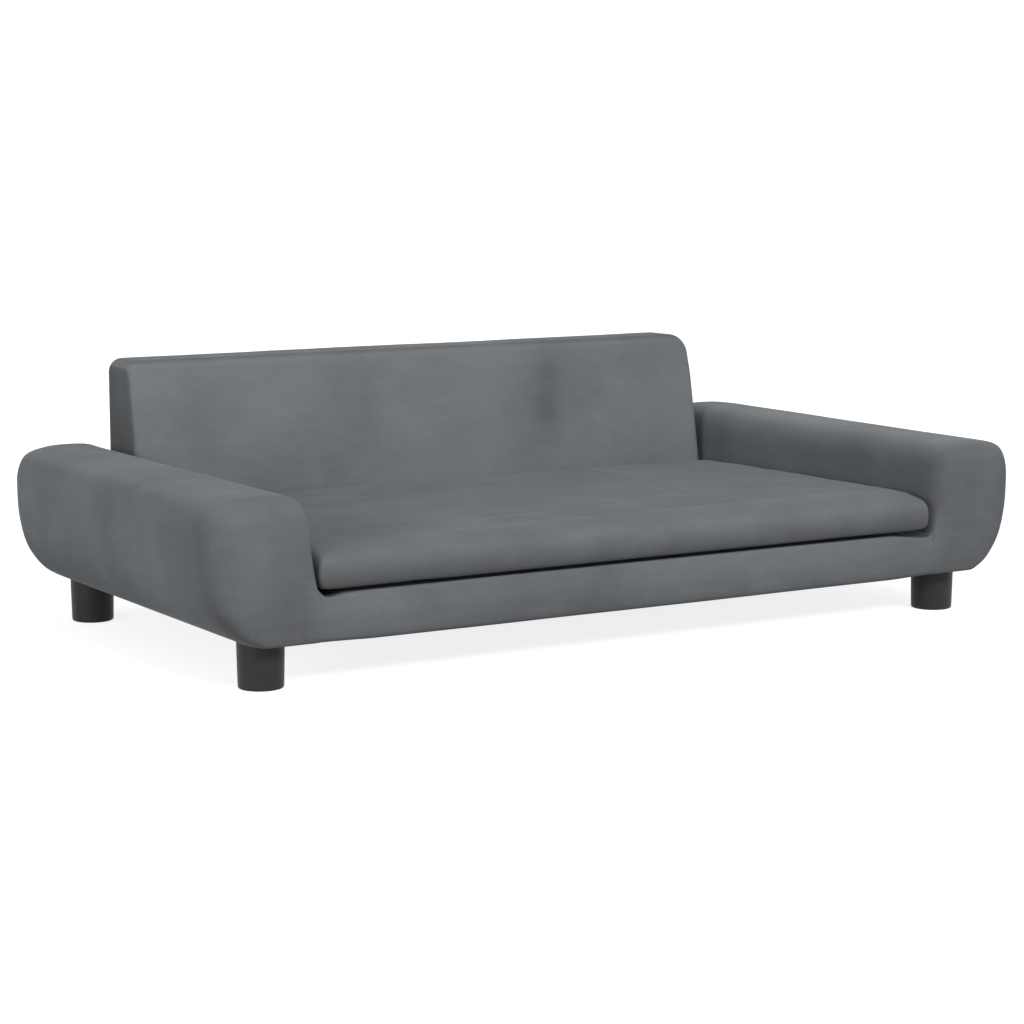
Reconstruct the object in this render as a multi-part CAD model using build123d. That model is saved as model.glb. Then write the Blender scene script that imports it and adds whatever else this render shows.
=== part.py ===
from build123d import *
from math import sqrt
import os

# A low pet sofa: two boat-shaped arms, a wedge backrest and an upholstered base on four screw-in
# feet, with a loose seat cushion that lifts out and has a zip along its hidden rear side.
# Frame: millimetres, origin on the floor under the middle, X to the right, Y to the back, Z up.

# Overall sizes
seat_width = 756.0
arm_width = 119.0
arm_length = 532.0
arm_height = 145.0
overall_height = 284.0
foot_height = 47.5
base_height = 47.5

# Layers and fits
velvet = 1.5
layer_gap = 0.3
body_gap = 0.3
bolt_gap = 0.2
cut_over = 2.0

# Boards and battens of the frame
thick_board = 12.0
mid_board = 9.0
deck_board_thickness = 6.0
bent_board = 3.0
rail_width = 18.0
batten_width = 20.0
batten_height = 24.0

# Arms
arm_padding = 11.0
arm_front_padding = 28.0
arm_back_padding = 37.0
front_outer_radius = 26.0
back_outer_radius = 47.0
inner_edge_radius = 20.0
front_top_radius = 22.0
back_top_radius = 20.0
arm_join_clearance = 0.4

# Right arm seen from the front: share of the width outwards from the seat, share of the height
# upwards from the underside, and share of the inner edge's rounding that the point takes.
arm_outline_shares = (
    (0.000, 0.000, 0.0),
    (0.010, 0.312, 0.0),
    (0.043, 0.582, 1.0),
    (0.092, 0.859, 1.0),
    (0.150, 0.955, 1.0),
    (0.249, 0.990, 1.0),
    (0.453, 1.000, 1.0),
    (0.719, 0.986, 1.0),
    (0.926, 0.928, 1.0),
    (0.994, 0.814, 1.0),
    (1.000, 0.694, 1.0),
    (0.984, 0.483, 1.0),
    (0.908, 0.255, 1.0),
    (0.759, 0.088, 1.0),
    (0.680, 0.044, 1.0),
    (0.560, 0.000, 0.0),
)
outer_station_shares = (0.0, 0.04, 0.15, 0.34, 0.62, 1.0)
inner_station_shares = (0.0, 0.12, 0.5, 1.0)

# Backrest
back_end_clearance = 2.5
back_setback = 2.5
back_top_thickness = 60.0
back_lean_share = 0.185
back_corner_radius = 20.0
back_edge_radius = 10.0
back_padding = 14.0
back_rib_count = 4

# Base
base_padding = 6.0
deck_padding = 7.9
base_edge_radius = 8.0
hem_width = 30.0
cross_rail_count = 2
dust_cloth = 0.5

# Feet
foot_bottom_radius = 22.1
foot_top_radius = 23.1
foot_bevel = 1.6
foot_from_seat = 42.4
foot_front_inset = 50.0
foot_back_inset = 58.0
stud_radius = 4.0
stud_in_foot = 22.0
stud_above_nut = 4.0

# Flat-headed connector bolts and drive-in nuts
bolt_radius = 3.0
bolt_head_radius = 8.5
bolt_head_height = 2.0
nut_barrel_radius = 3.8
nut_flange_radius = 8.5
nut_flange_thickness = 1.4
bolt_past_nut = 3.0
arm_bolt_front_inset = 116.0
arm_bolt_back_inset = 196.0
back_bolt_end_inset = 175.5

# Staples that hold the dust cloth
staple_crown = 10.0
staple_wire = 1.2
staple_proud = 0.5
staple_leg = 6.0
staple_inset = 9.0
long_side_staples = 8
short_side_staples = 4

# Seat cushion
cushion_end_clearance = 4.0
cushion_thickness = 45.0
cushion_nose_radius = 15.0
cushion_front_corner = 11.0
cushion_rear_corner = 16.0
cushion_end_fall = 2.4
cushion_fall_length = 220.0
cushion_back_clearance = 2.2

# Cushion seen from its end: share of the depth from front to back, share of the thickness up.
cushion_outline_shares = (
    (0.036, 0.000),
    (0.0085, 0.170),
    (0.000, 0.470),
    (0.011, 0.800),
    (0.055, 0.955),
    (0.300, 1.000),
    (0.955, 0.880),
    (0.990, 0.820),
    (1.000, 0.700),
    (1.000, 0.280),
    (0.990, 0.080),
    (0.968, 0.000),
)
cushion_station_shares = (0.0, 0.25, 1.0)

# Zip in the rear side of the cushion cover
zip_end_inset = 74.0
zip_tape_width = 8.0
zip_tape_thickness = 0.6
zip_slot_half = 0.7
zip_row_width = 1.9
zip_row_height = 1.5
zip_stop_length = 4.0
zip_window_margin = 5.0
zip_groove_depth = 3.4
slider_length = 11.0
slider_plate = 1.0
slider_flange = 0.9
slider_neck = 0.7
slider_neck_length = 3.0
slider_fit = 0.3
slider_eye_radius = 1.6
slider_eye_wire = 0.5

# Places that follow from the sizes above
half_arm = arm_length / 2
half_seat = seat_width / 2
half_width = half_seat + arm_width
underside = foot_height
seat_height = underside + base_height
skin = velvet + layer_gap
frame_bottom = underside + skin
rail_height = base_height - 2 * skin - deck_padding - deck_board_thickness
arm_axis = half_seat + foot_from_seat
back_face = half_arm - back_setback
back_half = half_seat - back_end_clearance
back_bolt_reach = back_half - back_bolt_end_inset
arm_bolt_height = frame_bottom + rail_height * 2 / 3
back_bolt_height = frame_bottom + rail_height / 2
front_rail_face = -half_arm + skin + base_padding + layer_gap
end_rail_face = half_seat - 2 * body_gap


def back_front(height):
    """Front of the leaning backrest at a height above the floor."""
    return back_face - back_top_thickness - back_lean_share * (overall_height - height)


base_back = back_front(underside) - 2 * body_gap
cushion_bottom = seat_height + body_gap
cushion_back = back_front(cushion_bottom) - cushion_back_clearance
cushion_front = -half_arm
cushion_half = half_seat - cushion_end_clearance
cushion_end_depth = max(cushion_nose_radius, cushion_front_corner, cushion_rear_corner)


def block(x0, x1, y0, y1, z0, z1):
    """A box between three pairs of coordinates."""
    return Pos(x0, y0, z0) * Box(x1 - x0, y1 - y0, z1 - z0, align=Align.MIN)


def rod(x, y, z, radius, length, direction):
    """A round rod that starts at a point and runs along a direction."""
    start = Plane(origin=(x, y, z), z_dir=direction)
    return extrude(start * Circle(radius), amount=length)


def rounded_in(distance, radius):
    """How far a quarter round has drawn in at a distance from its flat end."""
    if distance >= radius:
        return 0.0
    return radius - sqrt(radius**2 - (radius - distance) ** 2)


def end_station_shares(inset):
    """Where a rounded end is cut into sections: more of them on an outer surface."""
    return inner_station_shares if inset else outer_station_shares


def through_points(points, straight_first):
    """A closed face of arcs through every second point, with straight first and last edges."""
    edges = []
    start = 0
    if straight_first:
        edges.append(Line(points[0], points[1]))
        start = 1
    for i in range(start, len(points) - 2, 2):
        edges.append(ThreePointArc(points[i], points[i + 1], points[i + 2]))
    edges.append(Line(points[-1], points[0]))
    return Face(Wire(edges))


# Arms, modelled on the right and mirrored to the left

def arm_section(y, inset, inner, outer, top, low):
    """Outline of the right arm at y, drawn in by a layer's inset and by the end's rounding."""
    width = arm_width - 2 * inset - outer
    height = arm_height - inset - low - top
    points = []
    for across, up, edge in arm_outline_shares:
        x = half_seat + inset + across * width + inner * (1 - across) * edge
        points.append((x, y, underside + low + up * height))
    return through_points(points, True)


def arm_cap(inset, y_end, inward, outer_radius, top_radius):
    """One rounded end of the arm, lofted from the end face to the full section."""
    depth = outer_radius - inset
    sections = []
    for share in end_station_shares(inset):
        distance = share * depth
        inner = rounded_in(distance, inner_edge_radius - inset)
        outer = rounded_in(distance, outer_radius - inset)
        top = rounded_in(distance, top_radius - inset)
        sections.append(arm_section(y_end + inward * distance, inset, inner, outer, top, inset))
    if inward < 0:
        sections.reverse()
    return loft(sections, ruled=True)


def arm_form(inset):
    """The whole soft form of the right arm, drawn in evenly by an inset."""
    front = -half_arm + inset
    back = half_arm - inset
    middle_start = front + front_outer_radius - inset
    middle_end = back - back_outer_radius + inset
    outline = arm_section(middle_start, inset, 0, 0, 0, inset)
    middle = extrude(outline, amount=middle_end - middle_start, dir=(0, 1, 0))
    front_cap = arm_cap(inset, front, 1, front_outer_radius, front_top_radius)
    back_cap = arm_cap(inset, back, -1, back_outer_radius, back_top_radius)
    return middle + front_cap + back_cap


def arm_prism(inset, start, end):
    """A straight length of the arm's outline that runs out through the underside."""
    face = arm_section(start, inset, 0, 0, 0, skin - cut_over)
    return extrude(face, amount=end - start, dir=(0, 1, 0))


core_inset = arm_padding + layer_gap
core_front = -half_arm + arm_front_padding
core_back = half_arm - arm_back_padding
former_inset = core_inset + bent_board
board_inset = core_inset + layer_gap
arm_board_top = frame_bottom + mid_board


def arm_inner_face(height, offset):
    """Distance from the middle to the arm's inner side at a height, plus an offset."""
    up = (height - underside) / arm_height
    low, high = arm_outline_shares[1], arm_outline_shares[3]
    along = max(0.0, (up - low[1]) / (high[1] - low[1]))
    return half_seat + offset + arm_width * (low[0] + along * (high[0] - low[0]))


def arm_inner_board():
    """Upright board behind the arm's inner padding, leaning out with the arm."""
    lean_start = underside + arm_outline_shares[1][1] * arm_height
    top = underside + arm_outline_shares[3][1] * (arm_height - core_inset)
    heights = (frame_bottom, lean_start, top)
    near = [(arm_inner_face(z, board_inset), core_front, z) for z in heights]
    far = [(arm_inner_face(z, board_inset + mid_board), core_front, z) for z in reversed(heights)]
    face = make_face(Polyline(*near, *far, close=True))
    return extrude(face, amount=core_back - core_front, dir=(0, 1, 0))


def lower_zone(top):
    """Everything in the arm below a height."""
    return block(half_seat, half_width, -half_arm, half_arm, underside - cut_over, top)


def arm_base_board():
    """Flat board in the bottom of the arm that carries both feet."""
    start = arm_inner_face(frame_bottom, board_inset + mid_board + layer_gap)
    reach = half_seat + arm_outline_shares[-1][0] * arm_width - skin - layer_gap
    return block(start, reach, core_front, core_back, frame_bottom, arm_board_top)


def arm_formers(inner_board):
    """Shaped boards at both ends of the arm, which give it its outline."""
    front = arm_prism(former_inset, core_front, core_front + thick_board)
    back = arm_prism(former_inset, core_back - thick_board, core_back)
    return [former - inner_board - lower_zone(arm_board_top) for former in (front, back)]


def arm_bent_board(inner_board):
    """Thin board bent over both formers, from the top of the arm down its outer side."""
    around = arm_prism(core_inset, core_front, core_back)
    inside = arm_prism(former_inset, core_front - cut_over, core_back + cut_over)
    crown = half_seat + arm_outline_shares[5][0] * arm_width
    inner_zone = block(half_seat, crown, -half_arm, half_arm, underside, underside + arm_height)
    return around - inside - inner_zone - lower_zone(arm_board_top + bent_board) - inner_board


def arm_battens():
    """Two battens between the formers, one under the crown and one behind the outer side."""
    start = core_front + thick_board
    end = core_back - thick_board
    crown_share = arm_outline_shares[6][0]
    crown = half_seat + former_inset + crown_share * (arm_width - 2 * former_inset)
    top = underside + arm_height - former_inset - layer_gap - bent_board / 2
    upper = block(
        crown - batten_width / 2, crown + batten_width / 2, start, end, top - batten_height, top
    )
    side = half_width - former_inset - bent_board
    side_up = underside + arm_outline_shares[10][1] * arm_height
    outer = block(
        side - batten_width, side, start, end, side_up - batten_height, side_up
    )
    return [upper, outer]


def arm_foam():
    """Foam around the arm's frame, open underneath where the base board sits."""
    hollow = arm_prism(arm_padding, core_front - layer_gap, core_back + layer_gap)
    return arm_form(skin) - hollow


def arm_bolt_places():
    """Where the bolts cross from the base into the arm: depth and height of each."""
    depths = (-half_arm + arm_bolt_front_inset, half_arm - arm_bolt_back_inset)
    return [(y, arm_bolt_height) for y in depths]


def arm_bolt_nut_face():
    """Where the flanges of the arm's bolt nuts lie, just clear of the board at their tops."""
    return arm_inner_face(arm_bolt_height + nut_flange_radius, board_inset + mid_board) + layer_gap


def foot_places():
    """Middle of each right foot."""
    return [(arm_axis, -half_arm + foot_front_inset), (arm_axis, half_arm - foot_back_inset)]


def drilled(solid, places, radius, start, length, direction):
    """Holes along X or Z through a piece of the right arm or the base's right end."""
    for a, b in places:
        if direction[0]:
            solid -= rod(start, a, b, radius, length, direction)
        else:
            solid -= rod(a, b, start, radius, length, direction)
    return solid


def right_arm():
    """Every piece of the right arm, by name."""
    bolt_hole = bolt_radius + bolt_gap
    nut_hole = nut_barrel_radius + bolt_gap
    stud_hole = stud_radius + bolt_gap
    foot_nut_hole = stud_radius + (nut_barrel_radius - bolt_radius) + bolt_gap
    inner_board = arm_inner_board()
    reach = arm_width / 2
    nut_reach = arm_bolt_nut_face() - half_seat
    start = half_seat - cut_over
    base_board = arm_base_board()
    cover = arm_form(0) - arm_form(velvet)
    foam = arm_foam()
    bolts = arm_bolt_places()
    feet = foot_places()
    low = underside - cut_over
    pieces = {
        "formers": arm_formers(inner_board),
        "bent_board": arm_bent_board(inner_board),
        "battens": arm_battens(),
        "inner_board": drilled(inner_board, bolts, nut_hole, start, reach, (1, 0, 0)),
        "base_board": drilled(base_board, feet, foot_nut_hole, low, rail_height, (0, 0, 1)),
        "foam": drilled(foam, bolts, bolt_hole, start, nut_reach, (1, 0, 0)),
    }
    cover = drilled(cover, bolts, bolt_hole, start, nut_reach, (1, 0, 0))
    pieces["cover"] = drilled(cover, feet, stud_hole, low, skin + cut_over, (0, 0, 1))
    return pieces


# Base

def base_profile(inset, hem):
    """Side profile of the padded base, with its rounded front top edge."""
    corner = base_edge_radius - inset
    outline = Polyline(
        (0, -half_arm + inset, underside + hem),
        (0, base_back, underside + hem),
        (0, base_back, seat_height - inset),
        (0, -half_arm + inset, seat_height - inset),
        close=True,
    )
    face = make_face(outline)
    front_top = face.vertices().sort_by(Axis.Z)[-2:].sort_by(Axis.Y)[0]
    return fillet(front_top, corner)


def across_base(face):
    """A profile carried over the width between the arms."""
    reach = half_seat - arm_join_clearance
    return extrude(Pos(-reach, 0, 0) * face, amount=2 * reach, dir=(1, 0, 0))


def base_pieces():
    """Frame, padding, cover and dust cloth of the base, by name."""
    reach = end_rail_face
    rail_top = frame_bottom + rail_height
    deck_top = rail_top + deck_board_thickness
    front_inside = front_rail_face + rail_width
    back_inside = base_back - rail_width
    front_rail = block(-reach, reach, front_rail_face, front_inside, frame_bottom, rail_top)
    back_rail = block(-reach, reach, back_inside, base_back, frame_bottom, rail_top)
    end_rail = block(reach - rail_width, reach, front_inside, back_inside, frame_bottom, rail_top)
    bolts = arm_bolt_places()
    hole = bolt_radius + bolt_gap
    end_rail = drilled(end_rail, bolts, hole, reach - rail_width - cut_over,
                       rail_width + 2 * cut_over, (1, 0, 0))
    step = 2 * reach / (cross_rail_count + 1)
    cross_rails = []
    for i in range(cross_rail_count):
        x = -reach + step * (i + 1)
        cross_rails.append(
            block(x - rail_width / 2, x + rail_width / 2, front_inside, back_inside,
                  frame_bottom, rail_top)
        )
    for x in (-back_bolt_reach, back_bolt_reach):
        back_rail -= rod(x, back_inside - cut_over, back_bolt_height, hole,
                         rail_width + 2 * cut_over, (0, 1, 0))
    deck = block(-reach, reach, front_rail_face, base_back, rail_top, deck_top)
    under_foam = block(-half_seat, half_seat, front_rail_face - layer_gap, half_arm,
                       underside - cut_over, deck_top)
    foam = across_base(base_profile(skin, skin)) - under_foam
    cloth = across_base(base_profile(0, 0)) - across_base(base_profile(velvet, velvet))
    hem_zone = block(-half_seat, half_seat, -half_arm + hem_width, half_arm,
                     underside - cut_over, rail_top)
    back_zone = block(-half_seat, half_seat, base_back - velvet, half_arm, underside, seat_height)
    cloth = cloth - hem_zone - back_zone
    dust = block(-reach, reach, -half_arm + hem_width + layer_gap, base_back,
                 frame_bottom - dust_cloth, frame_bottom)
    return {
        "front_rail": front_rail,
        "back_rail": back_rail,
        "end_rails": [end_rail, mirror(end_rail, about=Plane.YZ)],
        "cross_rails": cross_rails,
        "deck_board": deck,
        "base_foam": foam,
        "base_cover": cloth,
        "dust_cover": dust,
    }


def staple(x, y, along_x):
    """One staple with its crown under the dust cloth and its legs in the rail."""
    top = frame_bottom + staple_leg
    low = frame_bottom - dust_cloth - staple_proud
    half = staple_crown / 2
    outer = Pos(0, 0, low) * Box(2 * half, staple_wire, top - low,
                                 align=(Align.CENTER, Align.CENTER, Align.MIN))
    inner = Pos(0, 0, low + staple_proud) * Box(2 * (half - staple_wire), 2 * staple_wire, top,
                                                align=(Align.CENTER, Align.CENTER, Align.MIN))
    turn = 0 if along_x else 90
    return Pos(x, y, 0) * Rot(0, 0, turn) * (outer - inner)


def dust_cover_staples():
    """Staples along the four sides of the dust cloth."""
    front = -half_arm + hem_width + layer_gap + staple_wire
    back = base_back - staple_inset
    side = end_rail_face - staple_inset
    staples = []
    for i in range(long_side_staples):
        x = -side + 2 * side * (i + 0.5) / long_side_staples
        staples.append(staple(x, back, True))
    for i in range(short_side_staples):
        y = front + (back - front) * (i + 0.5) / short_side_staples
        staples += [staple(-side, y, False), staple(side, y, False)]
    return staples


# Backrest

def back_form(inset, bottom_inset=None):
    """The wedge of the backrest with rounded upper corners and edges."""
    low = underside + (inset if bottom_inset is None else bottom_inset)
    top = overall_height - inset
    rear = back_face - inset
    half = back_half - inset
    profile = make_face(Polyline(
        (-half, back_front(low) + inset, low),
        (-half, back_front(top) + inset, top),
        (-half, rear, top),
        (-half, rear, low),
        close=True,
    ))
    wedge = extrude(profile, amount=2 * half, dir=(1, 0, 0))
    corners = wedge.edges().filter_by(Axis.Y).group_by(Axis.Z)[-1]
    wedge = fillet(corners, back_corner_radius - inset)
    middle = (back_front(top) + rear) / 2
    rim = [e for e in wedge.edges()
           if e.center().Z > low + back_edge_radius and abs(e.center().Y - middle) > back_edge_radius]
    return fillet(rim, back_edge_radius - inset)


def back_wedge(front_inset, top_inset, x0, x1, rear_inset):
    """A plain wedge between two distances from the middle, inside the backrest."""
    top = overall_height - top_inset
    profile = make_face(Polyline(
        (x0, back_front(frame_bottom) + front_inset, frame_bottom),
        (x0, back_front(top) + front_inset, top),
        (x0, back_face - rear_inset, top),
        (x0, back_face - rear_inset, frame_bottom),
        close=True,
    ))
    return extrude(profile, amount=x1 - x0, dir=(1, 0, 0))


def backrest_pieces():
    """Frame, padding and cover of the backrest, by name."""
    half = back_half - back_padding
    panel_face = back_face - skin - mid_board
    slope_inset = back_padding + layer_gap
    rib_inset = slope_inset + bent_board
    panel = block(-half, half, panel_face, panel_face + mid_board,
                  frame_bottom, overall_height - slope_inset)
    rail_front = back_front(frame_bottom) + rib_inset
    rail_front += back_lean_share * rail_height
    rail = block(-half, half, rail_front, rail_front + rail_width,
                 frame_bottom, frame_bottom + rail_height)
    notch = block(-half, half, back_front(underside), rail_front + rail_width,
                  underside, frame_bottom + rail_height)
    ribs = []
    for i in range(back_rib_count):
        x = -half + (2 * half - thick_board) * i / (back_rib_count - 1)
        rib = back_wedge(rib_inset, slope_inset, x, x + thick_board, skin + mid_board)
        ribs.append(rib - notch)
    slope = back_wedge(slope_inset, slope_inset, -half, half, skin + mid_board)
    slope -= back_wedge(rib_inset, back_padding - cut_over, -half - cut_over, half + cut_over, skin)
    hollow_half = half + layer_gap
    hollow = back_wedge(back_padding, back_padding, -hollow_half, hollow_half, skin)
    under = block(-hollow_half, hollow_half, back_front(frame_bottom) + slope_inset,
                  back_face - skin, underside, frame_bottom)
    behind = block(-hollow_half, hollow_half, back_face - 2 * skin, back_face + cut_over,
                   underside, overall_height - back_padding)
    foam = back_form(skin) - hollow - under - behind
    cover = back_form(0) - back_form(velvet)
    nut_face = rail_front + rail_width
    for x in (-back_bolt_reach, back_bolt_reach):
        hole = rod(x, back_front(underside) - back_padding, back_bolt_height,
                   bolt_radius + bolt_gap, back_padding * 3, (0, 1, 0))
        rail -= rod(x, rail_front - cut_over, back_bolt_height,
                    nut_barrel_radius + bolt_gap, rail_width + 2 * cut_over, (0, 1, 0))
        foam -= hole
        cover -= hole
        slope -= hole
    return {
        "back_panel": panel,
        "back_rail_inner": rail,
        "back_ribs": ribs,
        "back_slope_board": slope,
        "backrest_foam": foam,
        "backrest_cover": cover,
    }, nut_face


# Fasteners

def flat_head_bolt(x, y, z, direction, length):
    """A connector bolt whose wide flat head ends, and whose shank starts, at a point."""
    back = Vector(x, y, z) - Vector(*direction) * bolt_head_height
    head = rod(back.X, back.Y, back.Z, bolt_head_radius, bolt_head_height, direction)
    return head + rod(x, y, z, bolt_radius, length, direction)


def drive_in_nut(x, y, z, direction, depth, thread_radius):
    """A nut with a six-sided flange on one face of a board and its barrel in the board."""
    wall = nut_barrel_radius - bolt_radius
    flange_radius = nut_flange_radius + thread_radius - bolt_radius
    face = Plane(origin=(x, y, z), z_dir=direction)
    flange = extrude(face * RegularPolygon(flange_radius, 6), amount=nut_flange_thickness)
    back = Vector(x, y, z) - Vector(*direction) * depth
    barrel = rod(back.X, back.Y, back.Z, thread_radius + wall, depth, direction)
    bore = rod(back.X, back.Y, back.Z, thread_radius + bolt_gap / 2,
               depth + nut_flange_thickness, direction)
    return flange + barrel - bore


def arm_fasteners():
    """Bolts and nuts between the base and both arms."""
    bolts, nuts = [], []
    head_face = end_rail_face - rail_width
    nut_face = arm_bolt_nut_face()
    length = nut_face + nut_flange_thickness + bolt_past_nut - head_face
    for y, z in arm_bolt_places():
        bolt = flat_head_bolt(head_face, y, z, (1, 0, 0), length)
        nut = drive_in_nut(nut_face, y, z, (1, 0, 0), mid_board, bolt_radius)
        bolts += [bolt, mirror(bolt, about=Plane.YZ)]
        nuts += [nut, mirror(nut, about=Plane.YZ)]
    return {"arm_bolts": bolts, "arm_bolt_nuts": nuts}


def back_fasteners(nut_face):
    """Bolts and nuts between the base and the backrest."""
    bolts, nuts = [], []
    head_face = base_back - rail_width
    length = nut_face + nut_flange_thickness + bolt_past_nut - head_face
    for x in (-back_bolt_reach, back_bolt_reach):
        bolts.append(flat_head_bolt(x, head_face, back_bolt_height, (0, 1, 0), length))
        nuts.append(drive_in_nut(x, nut_face, back_bolt_height, (0, 1, 0), rail_width / 2,
                                 bolt_radius))
    return {"back_bolts": bolts, "back_bolt_nuts": nuts}


# Feet

def foot():
    """A slightly tapered moulded foot with a bevelled floor edge and a bore for its stud."""
    outline = Polyline(
        (0, 0, 0),
        (foot_bottom_radius - foot_bevel, 0, 0),
        (foot_bottom_radius, 0, foot_bevel),
        (foot_top_radius, 0, foot_height),
        (0, 0, foot_height),
        close=True,
    )
    body = revolve(make_face(outline), axis=Axis.Z)
    bore = rod(0, 0, foot_height - stud_in_foot, stud_radius + bolt_gap / 2,
               stud_in_foot + cut_over, (0, 0, 1))
    return body - bore


def foot_pieces():
    """Four feet with their studs and the nuts that the studs screw into."""
    pieces, studs, nuts = {}, [], []
    names = {-1: "left", 1: "right"}
    nut_face = arm_board_top
    for side in (-1, 1):
        for depth, (across, y) in zip(("front", "back"), foot_places()):
            x = side * across
            pieces[f"{names[side]}_{depth}_foot"] = Pos(x, y, 0) * foot()
            bottom = foot_height - stud_in_foot
            stud_top = nut_face + nut_flange_thickness + stud_above_nut
            studs.append(rod(x, y, bottom, stud_radius, stud_top - bottom, (0, 0, 1)))
            nuts.append(drive_in_nut(x, y, nut_face, (0, 0, 1), mid_board, stud_radius))
    pieces["foot_studs"] = studs
    pieces["foot_nuts"] = nuts
    return pieces


# Seat cushion

def cushion_section(distance, inset):
    """Outline of the cushion at a distance in from its right end."""
    nose = cushion_nose_radius - inset
    close = rounded_in(distance, nose) * (1 - velvet / cushion_nose_radius)
    fall = cushion_end_fall * max(0.0, 1 - distance / cushion_fall_length) ** 2
    front = cushion_front + inset + rounded_in(distance, cushion_front_corner - inset)
    back = cushion_back - inset - rounded_in(distance, cushion_rear_corner - inset)
    low = cushion_bottom + inset + close
    height = cushion_thickness - 2 * inset - 2 * close - fall
    x = cushion_half - inset - distance
    return [(x, front + along * (back - front), low + up * height)
            for along, up in cushion_outline_shares]


def cushion_face(points):
    """A face through arcs, with the straight rear band and the flat underside."""
    edges = [ThreePointArc(points[i], points[i + 1], points[i + 2]) for i in (0, 2, 4, 6)]
    edges.append(Line(points[8], points[9]))
    edges.append(ThreePointArc(points[9], points[10], points[11]))
    edges.append(Line(points[11], points[0]))
    return Face(Wire(edges))


def cushion_form(inset):
    """The crowned cushion: a long gently falling middle and two rounded ends."""
    reach = cushion_half - inset
    depth = cushion_end_depth - inset
    right = [cushion_section(depth + share * (reach - depth), inset)
             for share in cushion_station_shares]
    left = [[(-x, y, z) for x, y, z in points] for points in right[:-1]]
    middle = loft([cushion_face(points) for points in left + right[::-1]], ruled=True)
    ends = [cushion_section(share * depth, inset) for share in end_station_shares(inset)]
    end = loft([cushion_face(points) for points in reversed(ends)], ruled=True)
    return middle + end + mirror(end, about=Plane.YZ)


zip_half = cushion_half - zip_end_inset
zip_middle = cushion_bottom + cushion_thickness * (
    cushion_outline_shares[8][1] + cushion_outline_shares[9][1]) / 2
tape_front = cushion_back - velvet - layer_gap
tape_back = tape_front - zip_tape_thickness
row_front = tape_front + zip_row_height
slider_half = zip_slot_half + zip_row_width + slider_fit + slider_flange
window_half = slider_half + slider_fit


def zip_window(y0, y1):
    """The opening in the cushion cover that shows the zip."""
    reach = zip_half + zip_stop_length + zip_window_margin
    return block(-reach, reach, y0, y1, zip_middle - window_half, zip_middle + window_half)


def cushion_pieces():
    """Foam, cover and the fixed pieces of the zip, by name."""
    reach = zip_half + zip_stop_length + zip_window_margin
    cover = cushion_form(0) - cushion_form(velvet)
    cover -= zip_window(cushion_back - 2 * velvet, cushion_back + cut_over)
    groove = block(-reach - layer_gap, reach + layer_gap, tape_back - zip_groove_depth,
                   cushion_back, zip_middle - zip_tape_width - layer_gap,
                   zip_middle + zip_tape_width + layer_gap)
    foam = cushion_form(velvet + layer_gap) - groove
    tapes, rows, stops = [], [], []
    for side in (-1, 1):
        near, far = sorted((zip_middle + side * zip_slot_half, zip_middle + side * zip_tape_width))
        tapes.append(block(-reach, reach, tape_back, tape_front, near, far))
        row_edge = zip_middle + side * (zip_slot_half + zip_row_width)
        near, far = sorted((zip_middle + side * zip_slot_half, row_edge))
        rows.append(block(-zip_half, zip_half, tape_front, row_front, near, far))
        edge = sorted((side * zip_half, side * (zip_half + zip_stop_length)))
        stops.append(block(*edge, tape_front, row_front + slider_plate,
                           zip_middle - zip_slot_half - zip_row_width,
                           zip_middle + zip_slot_half + zip_row_width))
    return {
        "cushion_foam": foam,
        "cushion_cover": cover,
        "zip_tapes": tapes,
        "zip_chain": rows,
        "zip_stops": stops,
    }


def zip_slider():
    """Slider with plates in front of and behind the chain, joined by a neck in the slot."""
    x1 = zip_half - slider_fit
    x0 = x1 - slider_length
    z0, z1 = zip_middle - slider_half, zip_middle + slider_half
    plate_front = row_front + slider_fit + slider_plate
    outer = block(x0, x1, row_front + slider_fit, plate_front, z0, z1)
    for low in (z0, z1 - slider_flange):
        outer += block(x0, x1, tape_front + slider_fit, plate_front, low, low + slider_flange)
    inner = block(x0, x1, tape_back - slider_fit - slider_plate, tape_back - slider_fit, z0, z1)
    middle = (x0 + x1) / 2
    neck = block(middle - slider_neck_length / 2, middle + slider_neck_length / 2,
                 tape_back - slider_fit, row_front + slider_fit,
                 zip_middle - slider_neck / 2, zip_middle + slider_neck / 2)
    eye = rod(middle, plate_front, zip_middle - slider_eye_wire, slider_eye_radius,
              2 * slider_eye_wire, (0, 0, 1))
    eye -= block(x0, x1, tape_back, plate_front, z0, z1)
    eye -= rod(middle, plate_front, zip_middle - slider_eye_wire,
               slider_eye_radius - slider_eye_wire, 2 * slider_eye_wire, (0, 0, 1))
    return outer + inner + neck + eye


def save(name, solids):
    """Write one node, which holds one solid or a group of like solids."""
    group = solids if isinstance(solids, list) else [solids]
    whole = Compound(children=[s for piece in group for s in piece.solids()])
    export_step(whole, f"parts/{name}.step")


def build():
    """All pieces by name."""
    pieces = base_pieces()
    pieces["dust_cover_staples"] = dust_cover_staples()
    for name, piece in right_arm().items():
        group = piece if isinstance(piece, list) else [piece]
        pieces[f"right_arm_{name}"] = group
        pieces[f"left_arm_{name}"] = [mirror(p, about=Plane.YZ) for p in group]
    back, nut_face = backrest_pieces()
    pieces |= back
    pieces |= arm_fasteners()
    pieces |= back_fasteners(nut_face)
    pieces |= foot_pieces()
    pieces |= cushion_pieces()
    pieces["zip_slider"] = zip_slider()
    return pieces


os.makedirs("parts", exist_ok=True)
for node, solid in build().items():
    save(node, solid)
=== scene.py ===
import math

import bmesh
import bpy
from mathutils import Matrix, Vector, noise


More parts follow.
